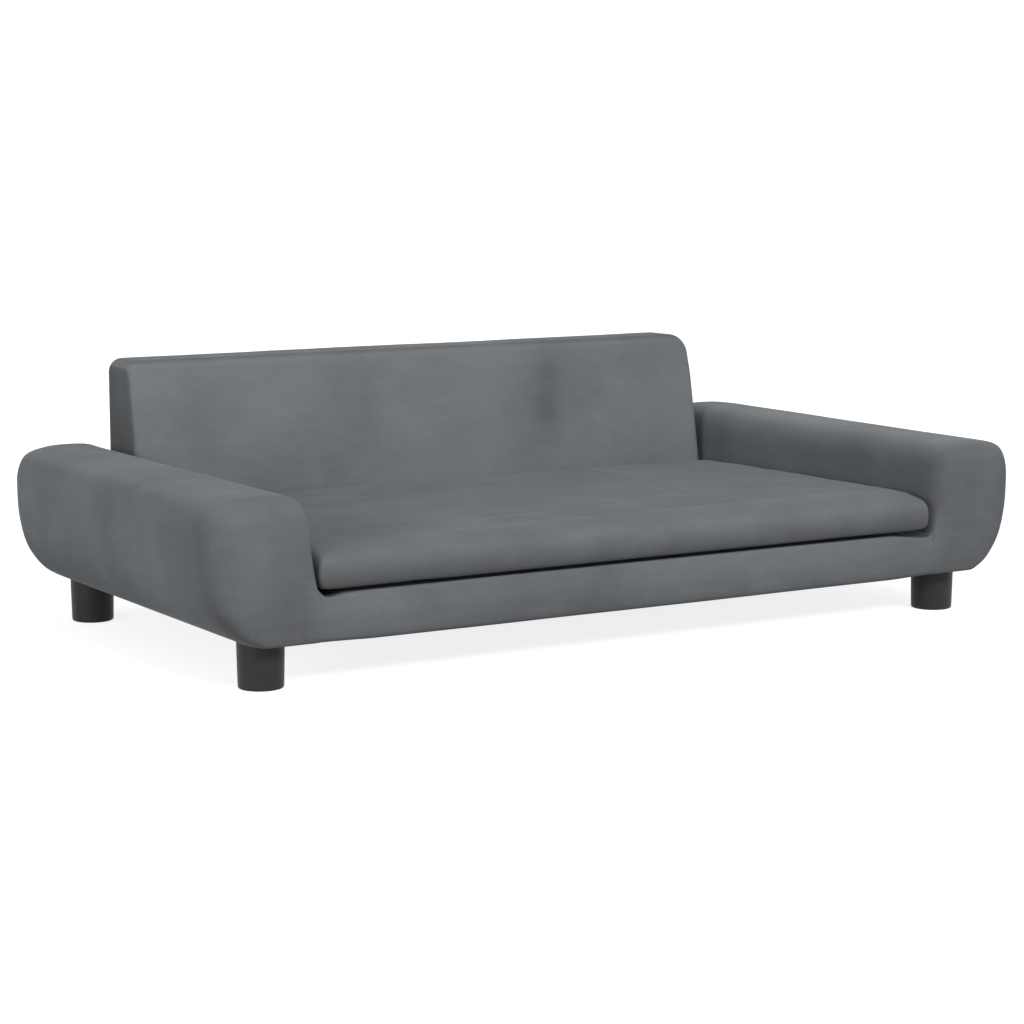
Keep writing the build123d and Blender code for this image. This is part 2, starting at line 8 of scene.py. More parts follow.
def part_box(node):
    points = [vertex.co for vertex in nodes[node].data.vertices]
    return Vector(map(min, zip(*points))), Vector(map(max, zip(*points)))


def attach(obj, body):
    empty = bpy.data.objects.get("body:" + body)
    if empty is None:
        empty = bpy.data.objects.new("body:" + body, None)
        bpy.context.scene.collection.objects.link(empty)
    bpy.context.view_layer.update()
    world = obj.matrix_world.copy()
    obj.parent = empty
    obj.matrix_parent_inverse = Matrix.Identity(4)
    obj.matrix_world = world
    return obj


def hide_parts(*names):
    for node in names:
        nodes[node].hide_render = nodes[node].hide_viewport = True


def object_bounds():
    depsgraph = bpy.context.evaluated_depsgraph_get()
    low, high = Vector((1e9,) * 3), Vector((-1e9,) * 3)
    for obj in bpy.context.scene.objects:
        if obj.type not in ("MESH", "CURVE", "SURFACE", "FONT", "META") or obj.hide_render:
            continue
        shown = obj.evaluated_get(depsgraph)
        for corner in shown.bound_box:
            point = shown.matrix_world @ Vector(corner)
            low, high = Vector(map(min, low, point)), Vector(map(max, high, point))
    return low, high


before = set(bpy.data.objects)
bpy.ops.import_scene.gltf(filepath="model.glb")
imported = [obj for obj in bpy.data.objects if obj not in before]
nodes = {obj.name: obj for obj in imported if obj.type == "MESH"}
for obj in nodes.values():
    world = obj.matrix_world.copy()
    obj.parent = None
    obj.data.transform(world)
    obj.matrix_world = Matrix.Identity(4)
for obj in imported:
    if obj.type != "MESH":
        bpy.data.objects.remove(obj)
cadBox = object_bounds()
print("frame loaded:", len(nodes), "nodes")

# Every length is in metres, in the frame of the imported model: X right, Y back, Z up.
# A low pet sofa in dark grey velvet: two padded arms, a base between them, a leaning
# backrest, four moulded feet, and a loose cushion with a zip along its rear side.


# Small helpers

def smoothStep(value):
    value = max(0.0, min(1.0, value))
    return value * value * (3 - 2 * value)


def ramp(value, start, width):
    # nothing up to the start, one past the width, and smooth between
    return smoothStep((value - start) / width)


def hump(value, middle, width):
    return math.exp(-((value - middle) / width) ** 2)


def roundedIn(distance, radius):
    # how far a quarter round has drawn in at a distance from its flat end
    if distance >= radius:
        return 0.0
    return radius - math.sqrt(radius ** 2 - (radius - distance) ** 2)


def quarterArc(radius, steps):
    # radius times the cosine and sine of even steps of a quarter turn, with both ends
    turns = [math.pi / 2 * k / steps for k in range(steps + 1)]
    return [(radius * math.cos(turn), radius * math.sin(turn)) for turn in turns]


def easedIn(radius, steps):
    # distances from an end, closer together near it, as round a quarter circle
    return [radius * (1 - across) for across, up in quarterArc(1, steps)[:-1]]


# lengths below this count as none
tiny = 1e-6


def splinePoints(points, lead, trail, spacing):
    # a smooth open line through the points, with a phantom point before and after it
    line = [Vector(lead)] + [Vector(p) for p in points] + [Vector(trail)]
    placed = []
    for p0, p1, p2, p3 in zip(line, line[1:], line[2:], line[3:]):
        t1 = max((p1 - p0).length, tiny) ** 0.5
        t2 = t1 + max((p2 - p1).length, tiny) ** 0.5
        t3 = t2 + max((p3 - p2).length, tiny) ** 0.5
        steps = max(2, round((p2 - p1).length / spacing))
        for k in range(steps):
            t = t1 + (t2 - t1) * k / steps

            def blend(a, b, start, end):
                return a * ((end - t) / (end - start)) + b * ((t - start) / (end - start))

            middle = blend(p1, p2, t1, t2)
            before = blend(blend(p0, p1, 0, t1), middle, 0, t2)
            after = blend(middle, blend(p2, p3, t2, t3), t1, t3)
            placed.append(blend(before, after, t1, t2))
    placed.append(Vector(points[-1]))
    return placed


def addObject(name, data):
    made = bpy.data.objects.new(name, data)
    bpy.context.scene.collection.objects.link(made)
    return made


def makePiece(name, verts, faces, body, material):
    mesh = bpy.data.meshes.new(name)
    mesh.from_pydata([tuple(v) for v in verts], [], faces)
    built = bmesh.new()
    built.from_mesh(mesh)
    bmesh.ops.remove_doubles(built, verts=built.verts, dist=tiny)
    bmesh.ops.recalc_face_normals(built, faces=built.faces)
    for face in built.faces:
        face.smooth = True
    built.to_mesh(mesh)
    built.free()
    mesh.materials.append(material)
    piece = addObject(name, mesh)
    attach(piece, body)
    return piece


def gridFaces(columns, rows):
    # quads over a grid of points that is listed column by column
    return [(a, a + rows, a + rows + 1, a + 1)
            for i in range(columns - 1) for a in range(i * rows, (i + 1) * rows - 1)]


def bandFaces(count, rings, first=0):
    # quads between rings of equally many points, from a first point on
    faces = []
    for start in range(first, first + (rings - 1) * count, count):
        for i in range(count):
            a, b = start + i, start + (i + 1) % count
            faces.append((a, b, b + count, a + count))
    return faces


def ringShell(rings):
    # a closed skin over rings of equally many points, with both ends fanned shut
    count = len(rings[0])
    verts = [p for ring in rings for p in ring]
    faces = bandFaces(count, len(rings))
    for first, ring in ((0, rings[0]), ((len(rings) - 1) * count, rings[-1])):
        verts.append(sum((Vector(p) for p in ring), Vector()) / count)
        centre = len(verts) - 1
        faces += [(first + i, first + (i + 1) % count, centre) for i in range(count)]
    return verts, faces


def capRings(ring, count, crown, outward):
    # rings that shrink towards the middle of an end face, which swells outwards a little
    middle = sum((Vector(p) for p in ring), Vector()) / len(ring)
    rings = []
    for k in range(1, count + 1):
        size = 1 - k / (count + 1)
        lift = crown * (1 - size ** 2) ** 2
        rings.append([middle + (Vector(p) - middle) * size + Vector(outward) * lift for p in ring])
    return rings


def cappedShell(rings, count, firstEnd, lastEnd):
    # a ring shell whose ends are filled in: crown and outward direction of each
    first = capRings(rings[0], count, *firstEnd)
    last = capRings(rings[-1], count, *lastEnd)
    return ringShell(first[::-1] + rings + last)


def addSubdivision(piece, levels):
    smoother = piece.modifiers.new("softer", "SUBSURF")
    smoother.levels = levels
    smoother.render_levels = levels


def addWall(piece, thickness):
    wall = piece.modifiers.new("cloth", "SOLIDIFY")
    wall.thickness = thickness
    wall.offset = -1.0


def moveAlongNormals(piece, amount):
    # each point moves along its own normal by what the function says for its place
    mesh = piece.data
    normals = [v.normal.copy() for v in mesh.vertices]
    for vertex, normal in zip(mesh.vertices, normals):
        vertex.co += normal * amount(vertex.co.copy())
    mesh.update()


def softNoise(place, size, shift=0.0):
    # gentle swell of about -1 to 1 whose waves are roughly this size
    return noise.noise(place / size + Vector((shift, shift * 1.7, -shift)))


def layeredNoise(place, layers):
    # several swells added up, each with its size, shift and share
    return sum(share * softNoise(place, size, shift) for size, shift, share in layers)


# how many lengths and widths from its middle a crease still counts
creaseReach = (2, 4)


def creaseDepth(place, creases):
    # depth of the short shallow creases near a place: middle, direction, length, width, depth
    total = 0.0
    for middle, direction, length, width, depth in creases:
        offset = place - Vector(middle)
        along = offset.dot(Vector(direction))
        across = (offset - Vector(direction) * along).length
        if abs(along) < creaseReach[0] * length and across < creaseReach[1] * width:
            total += depth * math.exp(-(across / width) ** 2 - (along / length) ** 2)
    return total


# how dark and how light the pile tone, with its painted shade and highlights, can be
darkNapAndShade, lightNapAndShade = -0.4, 1.0


def paintNapAndShade(piece, brushed):
    # where the pile lies lighter or darker, and where shade and highlights are painted, kept on the
    # points of the piece
    mesh = piece.data
    layer = mesh.attributes.new("napAndShade", "FLOAT", "POINT")
    values = [max(darkNapAndShade, min(lightNapAndShade, brushed(v.co))) for v in mesh.vertices]
    layer.data.foreach_set("value", values)


# Shared effects as node groups

def newGroup(name, inputs, outputs=("Colour", "Roughness", "Height")):
    tree = bpy.data.node_groups.new(name, "ShaderNodeTree")
    for label, value in inputs.items():
        kind = "NodeSocketColor" if isinstance(value, tuple) else "NodeSocketFloat"
        socket = tree.interface.new_socket(name=label, in_out="INPUT", socket_type=kind)
        socket.default_value = value
    for label in outputs:
        kind = "NodeSocketColor" if label == "Colour" else "NodeSocketFloat"
        tree.interface.new_socket(name=label, in_out="OUTPUT", socket_type=kind)
    return tree, tree.nodes.new("NodeGroupInput").outputs, tree.nodes.new("NodeGroupOutput")


def feed(node, links):
    # each input gets a link from another node's output, or a plain value
    for socket, source in links:
        if hasattr(source, "node"):
            node.id_data.links.new(source, node.inputs[socket])
        else:
            node.inputs[socket].default_value = source
    return node


def addNode(tree, kind, links=(), **values):
    node = tree.nodes.new(kind)
    for name, value in values.items():
        setattr(node, name, value)
    return feed(node, links)


def objectNoise(tree, scale, detail, stretch=(1, 1, 1), distortion=0.0):
    place = addNode(tree, "ShaderNodeTexCoord")
    mapped = addNode(tree, "ShaderNodeMapping", [
        ("Vector", place.outputs["Object"]), ("Scale", stretch)])
    return addNode(tree, "ShaderNodeTexNoise", [
        ("Vector", mapped.outputs[0]), ("Scale", scale), ("Detail", detail),
        ("Distortion", distortion)]).outputs["Fac"]


def mathNode(tree, operation, first, second=0.0):
    links = [(0, first), (1, second)]
    return addNode(tree, "ShaderNodeMath", links, operation=operation).outputs[0]


def times(tree, first, second):
    return mathNode(tree, "MULTIPLY", first, second)


def sumUp(tree, first, *others):
    for other in others:
        first = mathNode(tree, "ADD", first, other)
    return first


def mixColours(tree, factor, first, second):
    mix = addNode(tree, "ShaderNodeMix", data_type="RGBA")
    return feed(mix, [(0, factor), (6, first), (7, second)]).outputs[2]


def mapTo(tree, value, low, high, toLow, toHigh):
    links = [(0, value), (1, low), (2, high), (3, toLow), (4, toHigh)]
    return addNode(tree, "ShaderNodeMapRange", links).outputs[0]


def velvetPileGroup():
    # short pile: broad brushed patches, fine streaks along the lie of the pile, and fibre tips
    tree, given, result = newGroup("velvetPile", {
        "Dark Colour": (0.1, 0.1, 0.1, 1), "Light Colour": (0.2, 0.2, 0.2, 1),
        "Nap And Shade": 0.5, "Fibre Depth": 0.5})
    patches = objectNoise(tree, 9.0, 3.0, (1.0, 1.0, 0.7), 0.6)
    streaks = objectNoise(tree, 95.0, 2.0, (0.35, 0.35, 1.0), 0.2)
    fibres = objectNoise(tree, 1500.0, 2.0)
    tufts = objectNoise(tree, 420.0, 2.0, (1.0, 1.0, 0.6))
    # the nap input brings the pile's own tone together with painted shade and highlights
    lie = sumUp(tree, given["Nap And Shade"],
                mapTo(tree, patches, 0.3, 0.7, -0.22, 0.22),
                mapTo(tree, streaks, 0.3, 0.7, -0.09, 0.09),
                mapTo(tree, tufts, 0.25, 0.75, -0.10, 0.10),
                mapTo(tree, fibres, 0.25, 0.75, -0.12, 0.12))
    blend = mapTo(tree, lie, darkNapAndShade, lightNapAndShade, 0.0, 1.0)
    height = sumUp(tree, times(tree, fibres, 0.6), times(tree, tufts, 0.4))
    feed(result, [
        ("Colour", mixColours(tree, blend, given["Dark Colour"], given["Light Colour"])),
        ("Roughness", mapTo(tree, lie, 0.0, 1.0, 0.92, 0.74)),
        ("Height", times(tree, height, given["Fibre Depth"]))])
    return tree


def woodGrainGroup():
    # growth rings cut lengthwise, pores and a little soiling
    tree, given, result = newGroup("woodGrain", {
        "Early Wood": (0.7, 0.5, 0.3, 1), "Late Wood": (0.5, 0.3, 0.2, 1), "Along X": 1.0})
    grainX = objectNoise(tree, 60.0, 4.0, (0.06, 1.0, 1.0), 0.8)
    grainY = objectNoise(tree, 60.0, 4.0, (1.0, 0.06, 1.0), 0.8)
    along = addNode(tree, "ShaderNodeMix", data_type="FLOAT")
    feed(along, [(0, given["Along X"]), (2, grainY), (3, grainX)])
    rings = mathNode(tree, "PINGPONG", times(tree, along.outputs[0], 9.0), 0.5)
    pores = objectNoise(tree, 900.0, 1.0, (0.3, 0.3, 1.0))
    share = sumUp(tree, times(tree, rings, 1.5), mapTo(tree, pores, 0.3, 0.7, -0.15, 0.15))
    feed(result, [("Colour", mixColours(tree, share, given["Early Wood"], given["Late Wood"])),
                  ("Roughness", mapTo(tree, share, 0.0, 1.0, 0.62, 0.78)), ("Height", share)])
    return tree


def grainGroup(name, inputs, layers, roughness):
    # layers of noise that add up to a share of the second colour, the last one also in relief:
    # scale, detail and stretch of each, and the range that it is mapped to
    tree, given, result = newGroup(name, inputs)
    shares = []
    for scale, detail, stretch, mapped in layers:
        grain = objectNoise(tree, scale, detail, stretch)
        shares.append(mapTo(tree, grain, *mapped))
    share = sumUp(tree, *shares)
    feed(result, [("Colour", mixColours(tree, share, *(given[label] for label in inputs))),
                  ("Roughness", mapTo(tree, share, *roughness)), ("Height", grain)])
    return tree


def mouldedGrainGroup():
    # fine spark-eroded grain of a moulding, slightly worn and dusty
    colours = {"Colour": (0.03, 0.03, 0.03, 1), "Worn Colour": (0.08, 0.08, 0.08, 1)}
    dust = (70.0, 4.0, (1, 1, 1), (0.45, 0.8, 0.0, 0.35))
    grain = (1400.0, 2.0, (1, 1, 1), (0.3, 0.7, -0.1, 0.15))
    return grainGroup("mouldedGrain", colours, (dust, grain), (0.0, 0.5, 0.48, 0.62))


def plateFinishGroup():
    # thin metal plating: faint mottle, rubbed patches and rolling marks
    colours = {"Bright": (0.6, 0.6, 0.6, 1), "Dull": (0.4, 0.4, 0.4, 1)}
    mottle = (260.0, 3.0, (1, 1, 1), (0.3, 0.7, 0.0, 0.8))
    marks = (800.0, 2.0, (1.0, 0.15, 1.0), (0.3, 0.7, -0.1, 0.2))
    return grainGroup("plateFinish", colours, (mottle, marks), (0.0, 1.0, 0.28, 0.5))


def wovenGroup():
    # plain weave: two crossing sets of rounded threads
    tree, given, result = newGroup("wovenCloth", {
        "Thread Colour": (0.1, 0.1, 0.1, 1), "Shade Colour": (0.05, 0.05, 0.05, 1),
        "Thread Width": 0.0006}, ("Colour", "Height"))
    place = addNode(tree, "ShaderNodeTexCoord")
    parts = addNode(tree, "ShaderNodeSeparateXYZ", [(0, place.outputs["Object"])])
    upright = sumUp(tree, parts.outputs[1], parts.outputs[2])
    waves = []
    for source in (parts.outputs[0], upright):
        turns = times(tree, mathNode(tree, "DIVIDE", source, given["Thread Width"]), math.pi)
        waves.append(mathNode(tree, "ABSOLUTE", mathNode(tree, "SINE", turns)))
    height = mathNode(tree, "MAXIMUM", *waves)
    lint = objectNoise(tree, 700.0, 2.0)
    share = times(tree, height, mapTo(tree, lint, 0.3, 0.7, 0.6, 1.0))
    colour = mixColours(tree, share, given["Shade Colour"], given["Thread Colour"])
    feed(result, [("Colour", colour), ("Height", height)])
    return tree


# Materials

def makeMaterial(name, group, values, bump, **settings):
    # one shared effect with its own values, a bump of some depth and strength, and plain settings
    material = bpy.data.materials.new(name)
    material.use_nodes = True
    tree = material.node_tree
    shader = tree.nodes["Principled BSDF"]
    effect = feed(addNode(tree, "ShaderNodeGroup", node_tree=group), values.items())
    # the tone kept on the points holds painted shade and highlights as well as the pile's own tone
    if "Nap And Shade" in effect.inputs:
        napAndShade = addNode(tree, "ShaderNodeAttribute", attribute_type="GEOMETRY", attribute_name="napAndShade")
        feed(effect, [("Nap And Shade", napAndShade.outputs["Fac"])])
    depth, strength = bump
    relief = addNode(tree, "ShaderNodeBump", [
        ("Height", effect.outputs["Height"]), ("Distance", depth), ("Strength", strength)])
    feed(shader, [("Base Color", effect.outputs["Colour"]), ("Normal", relief.outputs[0])])
    if "Roughness" in effect.outputs:
        feed(shader, [("Roughness", effect.outputs["Roughness"])])
    feed(shader, settings.items())
    return material


def woodMaterial(name, early, late, alongX):
    values = {"Early Wood": early, "Late Wood": late, "Along X": alongX}
    return makeMaterial(name, woodGroup, values, bump=(0.0002, 0.3))


def mouldedMaterial(name, colour, worn, specular):
    values = {"Colour": colour, "Worn Colour": worn}
    return makeMaterial(name, mouldGroup, values, bump=(0.00015, 0.4),
                        **{"Specular IOR Level": specular})


def metalMaterial(name, bright, dull):
    values = {"Bright": bright, "Dull": dull}
    return makeMaterial(name, plateGroup, values, bump=(0.00005, 0.3), Metallic=1.0)


def wovenMaterial(name, thread, shade, width):
    values = {"Thread Colour": thread, "Shade Colour": shade, "Thread Width": width}
    return makeMaterial(name, weaveGroup, values, bump=(width * 0.4, 0.6),
                        **{"Roughness": 0.85, "Specular IOR Level": 0.2})


velvetLook = {
    "values": {"Dark Colour": (0.0972, 0.1010, 0.1066, 1), "Light Colour": (0.178, 0.193, 0.203, 1),
               "Fibre Depth": 1.0},
    "bump": (0.0006, 0.35),
    "Sheen Weight": 0.14,
    "Sheen Roughness": 0.42,
    "Sheen Tint": (0.86, 0.93, 0.97, 1),
    "Specular IOR Level": 0.12,
}
pineColours = ((0.66, 0.47, 0.27, 1), (0.47, 0.29, 0.14, 1))
plyColours = ((0.60, 0.45, 0.28, 1), (0.48, 0.34, 0.20, 1))

woodGroup = woodGrainGroup()
mouldGroup = mouldedGrainGroup()
plateGroup = plateFinishGroup()
weaveGroup = wovenGroup()
greyVelvet = makeMaterial("greyVelvet", velvetPileGroup(), **velvetLook)
footPlastic = mouldedMaterial(
    "footPlastic", (0.020, 0.018, 0.0195, 1), (0.042, 0.039, 0.041, 1), 0.25)
coilNylon = mouldedMaterial("coilNylon", (0.060, 0.064, 0.068, 1), (0.10, 0.105, 0.11, 1), 0.45)
zincPlate = metalMaterial("zincPlate", (0.66, 0.66, 0.67, 1), (0.50, 0.50, 0.50, 1))
darkPlate = metalMaterial("darkPlate", (0.12, 0.12, 0.125, 1), (0.07, 0.07, 0.072, 1))
pineAcross = woodMaterial("pineAcross", *pineColours, 1.0)
pineDeep = woodMaterial("pineDeep", *pineColours, 0.0)
plyAcross = woodMaterial("plyAcross", *plyColours, 1.0)
plyDeep = woodMaterial("plyDeep", *plyColours, 0.0)
zipTapeCloth = wovenMaterial(
    "zipTapeCloth", (0.075, 0.081, 0.086, 1), (0.035, 0.038, 0.040, 1), 0.0006)
dustCloth = wovenMaterial("dustCloth", (0.034, 0.034, 0.036, 1), (0.014, 0.014, 0.015, 1), 0.0022)
seamThread = wovenMaterial("seamThread", (0.13, 0.14, 0.148, 1), (0.06, 0.065, 0.07, 1), 0.0003)
print("materials made")


# Arms

armShape = {
    # seen from the front: share of the width outwards from the seat, share of the height up
    "outlineShares": ((0.000, 0.000), (0.010, 0.312), (0.043, 0.582), (0.092, 0.859),
                      (0.155, 0.962), (0.249, 0.990), (0.453, 1.000), (0.719, 0.987),
                      (0.927, 0.933), (0.994, 0.814), (1.000, 0.694), (0.984, 0.483),
                      (0.908, 0.255), (0.759, 0.088), (0.680, 0.044), (0.560, 0.000)),
    "pointSpacing": 0.0055,
    # roundings of the outer and of the upper edge
    "frontRadii": (0.026, 0.023),
    "backRadii": (0.047, 0.019),
    "innerRadius": 0.0160,
    "bottomRadius": 0.003,
    "edgeBelowSeat": 0.006,
    "edgeRise": 0.055,
    "edgePower": 0.8,
    "trail": 0.2,
    "endSteps": 12,
    "bodySteps": 60,
    "capRings": 12,
    "faceCrown": 0.0030,
    "swell": 0.0006,
    "swellSize": 0.11,
    "swellShift": 3.1,
    # start and length of the rise, from the inner side and from the underside
    "sideFree": (0.006, 0.03),
    "bottomFree": (0.004, 0.02),
}


def armOutline(shape, width, height):
    flat = [Vector((across * width, up * height, 0)) for across, up in shape["outlineShares"]]
    lead = flat[0] - (flat[1] - flat[0])
    trail = flat[-1] + Vector((-width * shape["trail"], 0, 0))
    loop = splinePoints(flat, lead, trail, shape["pointSpacing"])
    underneath = flat[-1].x
    steps = round(underneath / shape["pointSpacing"])
    loop += [Vector((underneath * (1 - k / steps), 0, 0)) for k in range(1, steps)]
    return [(p.x / width, p.y / height) for p in loop]


def armRing(shape, outline, box, seatTop, y, distance, outerRadius, topRadius):
    low, high = box
    width, height = high.x - low.x, high.z - low.z
    outer = roundedIn(distance, outerRadius)
    inner = roundedIn(distance, shape["innerRadius"])
    top = roundedIn(distance, topRadius)
    bottom = roundedIn(distance, shape["bottomRadius"])
    ring = []
    for across, up in outline:
        z = low.z + bottom + up * (height - bottom - top)
        # the inner edge is square beside the base and grows rounder above it
        above = (z - seatTop + shape["edgeBelowSeat"]) / shape["edgeRise"]
        soft = max(0.0, min(1.0, above)) ** shape["edgePower"]
        x = low.x + across * (width - outer) + inner * soft * (1 - across)
        ring.append(Vector((x, y, z)))
    return ring


def makeArm(side, shape, creases, napAndShade):
    name = "left" if side < 0 else "right"
    box = low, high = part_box("right_arm_cover")
    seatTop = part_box("base_cover")[1].z
    outline = armOutline(shape, high.x - low.x, high.z - low.z)
    front, back, count = shape["frontRadii"], shape["backRadii"], shape["bodySteps"]
    start, end = low.y + front[0], high.y - back[0]
    stations = [(low.y + inset, inset, *front) for inset in easedIn(front[0], shape["endSteps"])]
    stations += [(start + (end - start) * k / count, high.y, *front) for k in range(count + 1)]
    stations += [(high.y - inset, inset, *back)
                 for inset in reversed(easedIn(back[0], shape["endSteps"]))]
    rings = [armRing(shape, outline, box, seatTop, *station) for station in stations]
    verts, faces = cappedShell(rings, shape["capRings"], (shape["faceCrown"], (0, -1, 0)),
                               (shape["faceCrown"], (0, 1, 0)))
    verts = [Vector((v[0] * side, v[1], v[2])) for v in verts]
    arm = makePiece(f"{name}ArmPad", verts, faces, "sofa", greyVelvet)

    def swell(place):
        free = ramp(abs(place.x) - low.x, *shape["sideFree"])
        bottom = ramp(place.z - low.z, *shape["bottomFree"])
        wave = shape["swell"] * softNoise(place, shape["swellSize"], side * shape["swellShift"])
        return bottom * (free * wave - creaseDepth(place, creases))

    moveAlongNormals(arm, swell)
    paintNapAndShade(arm, napAndShade)
    addSubdivision(arm, 1)
    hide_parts(f"{name}_arm_cover", f"{name}_arm_foam")
    return arm


# Tones of the pile with painted shade and highlights: a pair says where a change starts or lies and
# over what length it comes

frontPileAndShade = {
    "level": 0.34,
    # all changes below but the mottle are painted shade
    "footEnds": (0.050, 0.035),
    "footLoss": 0.34,
    "rollEnds": (0.0475, 0.006),
    "rollLoss": 0.6,
    "armStarts": (0.370, 0.035),
    "armRises": (0.095, 0.02),
    "leftLoss": 0.30,
    "rightLoss": 0.40,
    "easesUp": (0.13, 0.05),
    "easing": 0.5,
    "behindEdge": (0.003, 0.005),
    "aboveBase": (0.080, 0.006),
    "baseEnds": (0.376, 0.004),
    "cushionShadeLoss": 0.9,
    "turnLies": (0.388, 0.010),
    "turnRises": (0.11, 0.03),
    "turnLoss": 0.34,
    "mottle": ((0.13, 5.0, 0.2), (0.045, 9.0, 0.1)),
}
armPileAndShade = {
    "level": 0.50,
    "faceEnds": (0.004, 0.016),
    # the crown, low, ahead, inner and corner changes are painted highlight and shade
    "crownStarts": (0.165, 0.02),
    "leftCrown": -0.24,
    "rightCrown": 0.34,
    "lowEnds": (0.060, 0.05),
    "lowLoss": 0.40,
    "aheadEnds": (0.02, 0.12),
    "aheadLoss": 0.38,
    "innerEnds": (0.392, 0.015),
    "innerLoss": 0.34,
    "cornerLies": (0.012, 0.022),
    "cornerStarts": (0.455, 0.03),
    "cornerLoss": 0.32,
    "mottle": ((0.12, 5.0, 0.2), (0.045, 9.0, 0.1)),
}


def frontNapAndShade(place):
    # the front faces run on from the base into the arms; painted shade darkens the arm fronts, the
    # right one more, and the fronts towards the bottom and along the bottom roll
    pile, out, behind = frontPileAndShade, abs(place.x), place.y - cadBox[0].y
    foot = 1 - ramp(place.z, *pile["footEnds"])
    roll = 1 - ramp(place.z, *pile["rollEnds"])
    outward = max(ramp(out, *pile["armStarts"]), ramp(place.z, *pile["armRises"]))
    arm = pile["leftLoss"] if place.x < 0 else pile["rightLoss"]
    arm *= outward * (1 - pile["easing"] * ramp(place.z, *pile["easesUp"]))
    # painted shade on the deck just behind the front edge, under the cushion, and where the right
    # arm turns inward
    cushionShadeMask = ramp(behind, *pile["behindEdge"]) * ramp(place.z, *pile["aboveBase"])
    cushionShadeMask *= 1 - ramp(out, *pile["baseEnds"])
    turn = hump(place.x, *pile["turnLies"]) * ramp(place.z, *pile["turnRises"])
    loss = arm + pile["footLoss"] * foot + pile["rollLoss"] * roll
    loss += pile["cushionShadeLoss"] * cushionShadeMask + pile["turnLoss"] * turn
    return pile["level"] - loss + layeredNoise(place, pile["mottle"])


def armNapAndShade(place):
    # painted highlight along the right crown and painted shade along the left one; painted shade
    # low on the sides, towards the front of the flanks, on the right arm's inner side and round the
    # outer front corner
    pile, out, behind = armPileAndShade, abs(place.x), place.y - cadBox[0].y
    crown = ramp(place.z, *pile["crownStarts"])
    low = 1 - ramp(place.z, *pile["lowEnds"])
    ahead = 1 - ramp(behind, *pile["aheadEnds"])
    inner = 1 - ramp(out, *pile["innerEnds"]) if place.x > 0 else 0
    flankLoss = pile["aheadLoss"] * ahead * (1 - inner) + pile["innerLoss"] * inner
    level = pile["level"] - pile["lowLoss"] * low - flankLoss * (1 - crown)
    level += crown * (pile["rightCrown"] if place.x > 0 else pile["leftCrown"])
    level += layeredNoise(place, pile["mottle"])
    face = 1 - ramp(behind, *pile["faceEnds"])
    corner = hump(behind, *pile["cornerLies"]) * ramp(out, *pile["cornerStarts"])
    level += (frontNapAndShade(place) - level) * face
    return level - pile["cornerLoss"] * corner * (1 - crown)


leftCreases = (
    ((-0.470, 0.165, 0.180), (0, 1, 0), 0.035, 0.0035, 0.0007),
    ((-0.488, 0.175, 0.160), (0, 1, 0), 0.030, 0.0035, 0.0007),
    ((-0.497, 0.150, 0.140), (0, 1, 0), 0.028, 0.0030, 0.0006),
)
rightCreases = (
    ((0.381, 0.05, 0.150), (0, 1, 0), 0.045, 0.004, 0.0008),
    ((0.384, -0.06, 0.155), (0, 1, 0), 0.050, 0.004, 0.0006),
)
leftArm = makeArm(-1, armShape, leftCreases, armNapAndShade)
makeArm(1, armShape, rightCreases, armNapAndShade)
print("arms made:", len(leftArm.data.polygons), "faces each")


# Base between the arms

baseShape = {
    "frontCrown": 0.0014,
    "crownFade": 0.06,
    "frontFade": 0.02,
    "topRadius": 0.0036,
    "bottomRadius": 0.005,
    "hem": 0.030,
    "hemSag": 0.0016,
    "sagHeight": 0.4,
    "thickness": 0.0018,
    "spacing": 0.0055,
    "fineRows": 0.026,
    "roundSteps": 5,
    "intoArm": 0.0065,
    "flushPast": 0.0012,
    "tuck": 0.0045,
    # depth and reach of the dip beside each arm
    "leftDip": (0.0042, 0.026),
    "rightDip": (0.0054, 0.038),
    # the groove behind the front edge and its pocket near each arm
    "groove": 0.0022,
    "grooveStarts": (0.0025, 0.011),
    "pocketDip": 0.0077,
    "pocketEnds": (0.045, 0.040),
    "endSoftness": 0.0012,
    "softReach": 0.022,
    "softStarts": (0.6, 0.4),
    "leftRise": 0.016,
    "rightRise": 0.011,
    "riseHeight": 0.018,
    "riseShares": (0.8, 0.2),
    "swell": 0.0005,
    "swellSize": 0.13,
    "swellShift": 2.0,
    "endsFree": (0.01, 0.03),
}


def baseProfile(shape, low, high):
    # from the rear of the top, over the front, to the end of the hem turned under
    spacing, near, radius = shape["spacing"], shape["fineRows"], shape["topRadius"]
    depth = high.y - low.y - near
    steps = round(depth / spacing)
    points = [(high.y - depth * k / steps, high.z) for k in range(steps)]
    steps = round(2 * (near - radius) / spacing)
    points += [(low.y + near - (near - radius) * k / steps, high.z) for k in range(steps)]
    points += [(low.y + radius - ahead, high.z - radius + up)
               for up, ahead in quarterArc(radius, shape["roundSteps"])]
    top, bottom = high.z - radius, low.z + shape["bottomRadius"]
    steps = round((top - bottom) / spacing)
    points += [(low.y, top + (bottom - top) * (k / steps)) for k in range(1, steps)]
    radius = shape["bottomRadius"]
    points += [(low.y + radius - ahead, low.z + radius - down)
               for ahead, down in quarterArc(radius, shape["roundSteps"])]
    under = shape["hem"] - radius
    steps = round(under / spacing)
    return points + [(low.y + radius + under * k / steps, low.z) for k in range(1, steps + 1)]


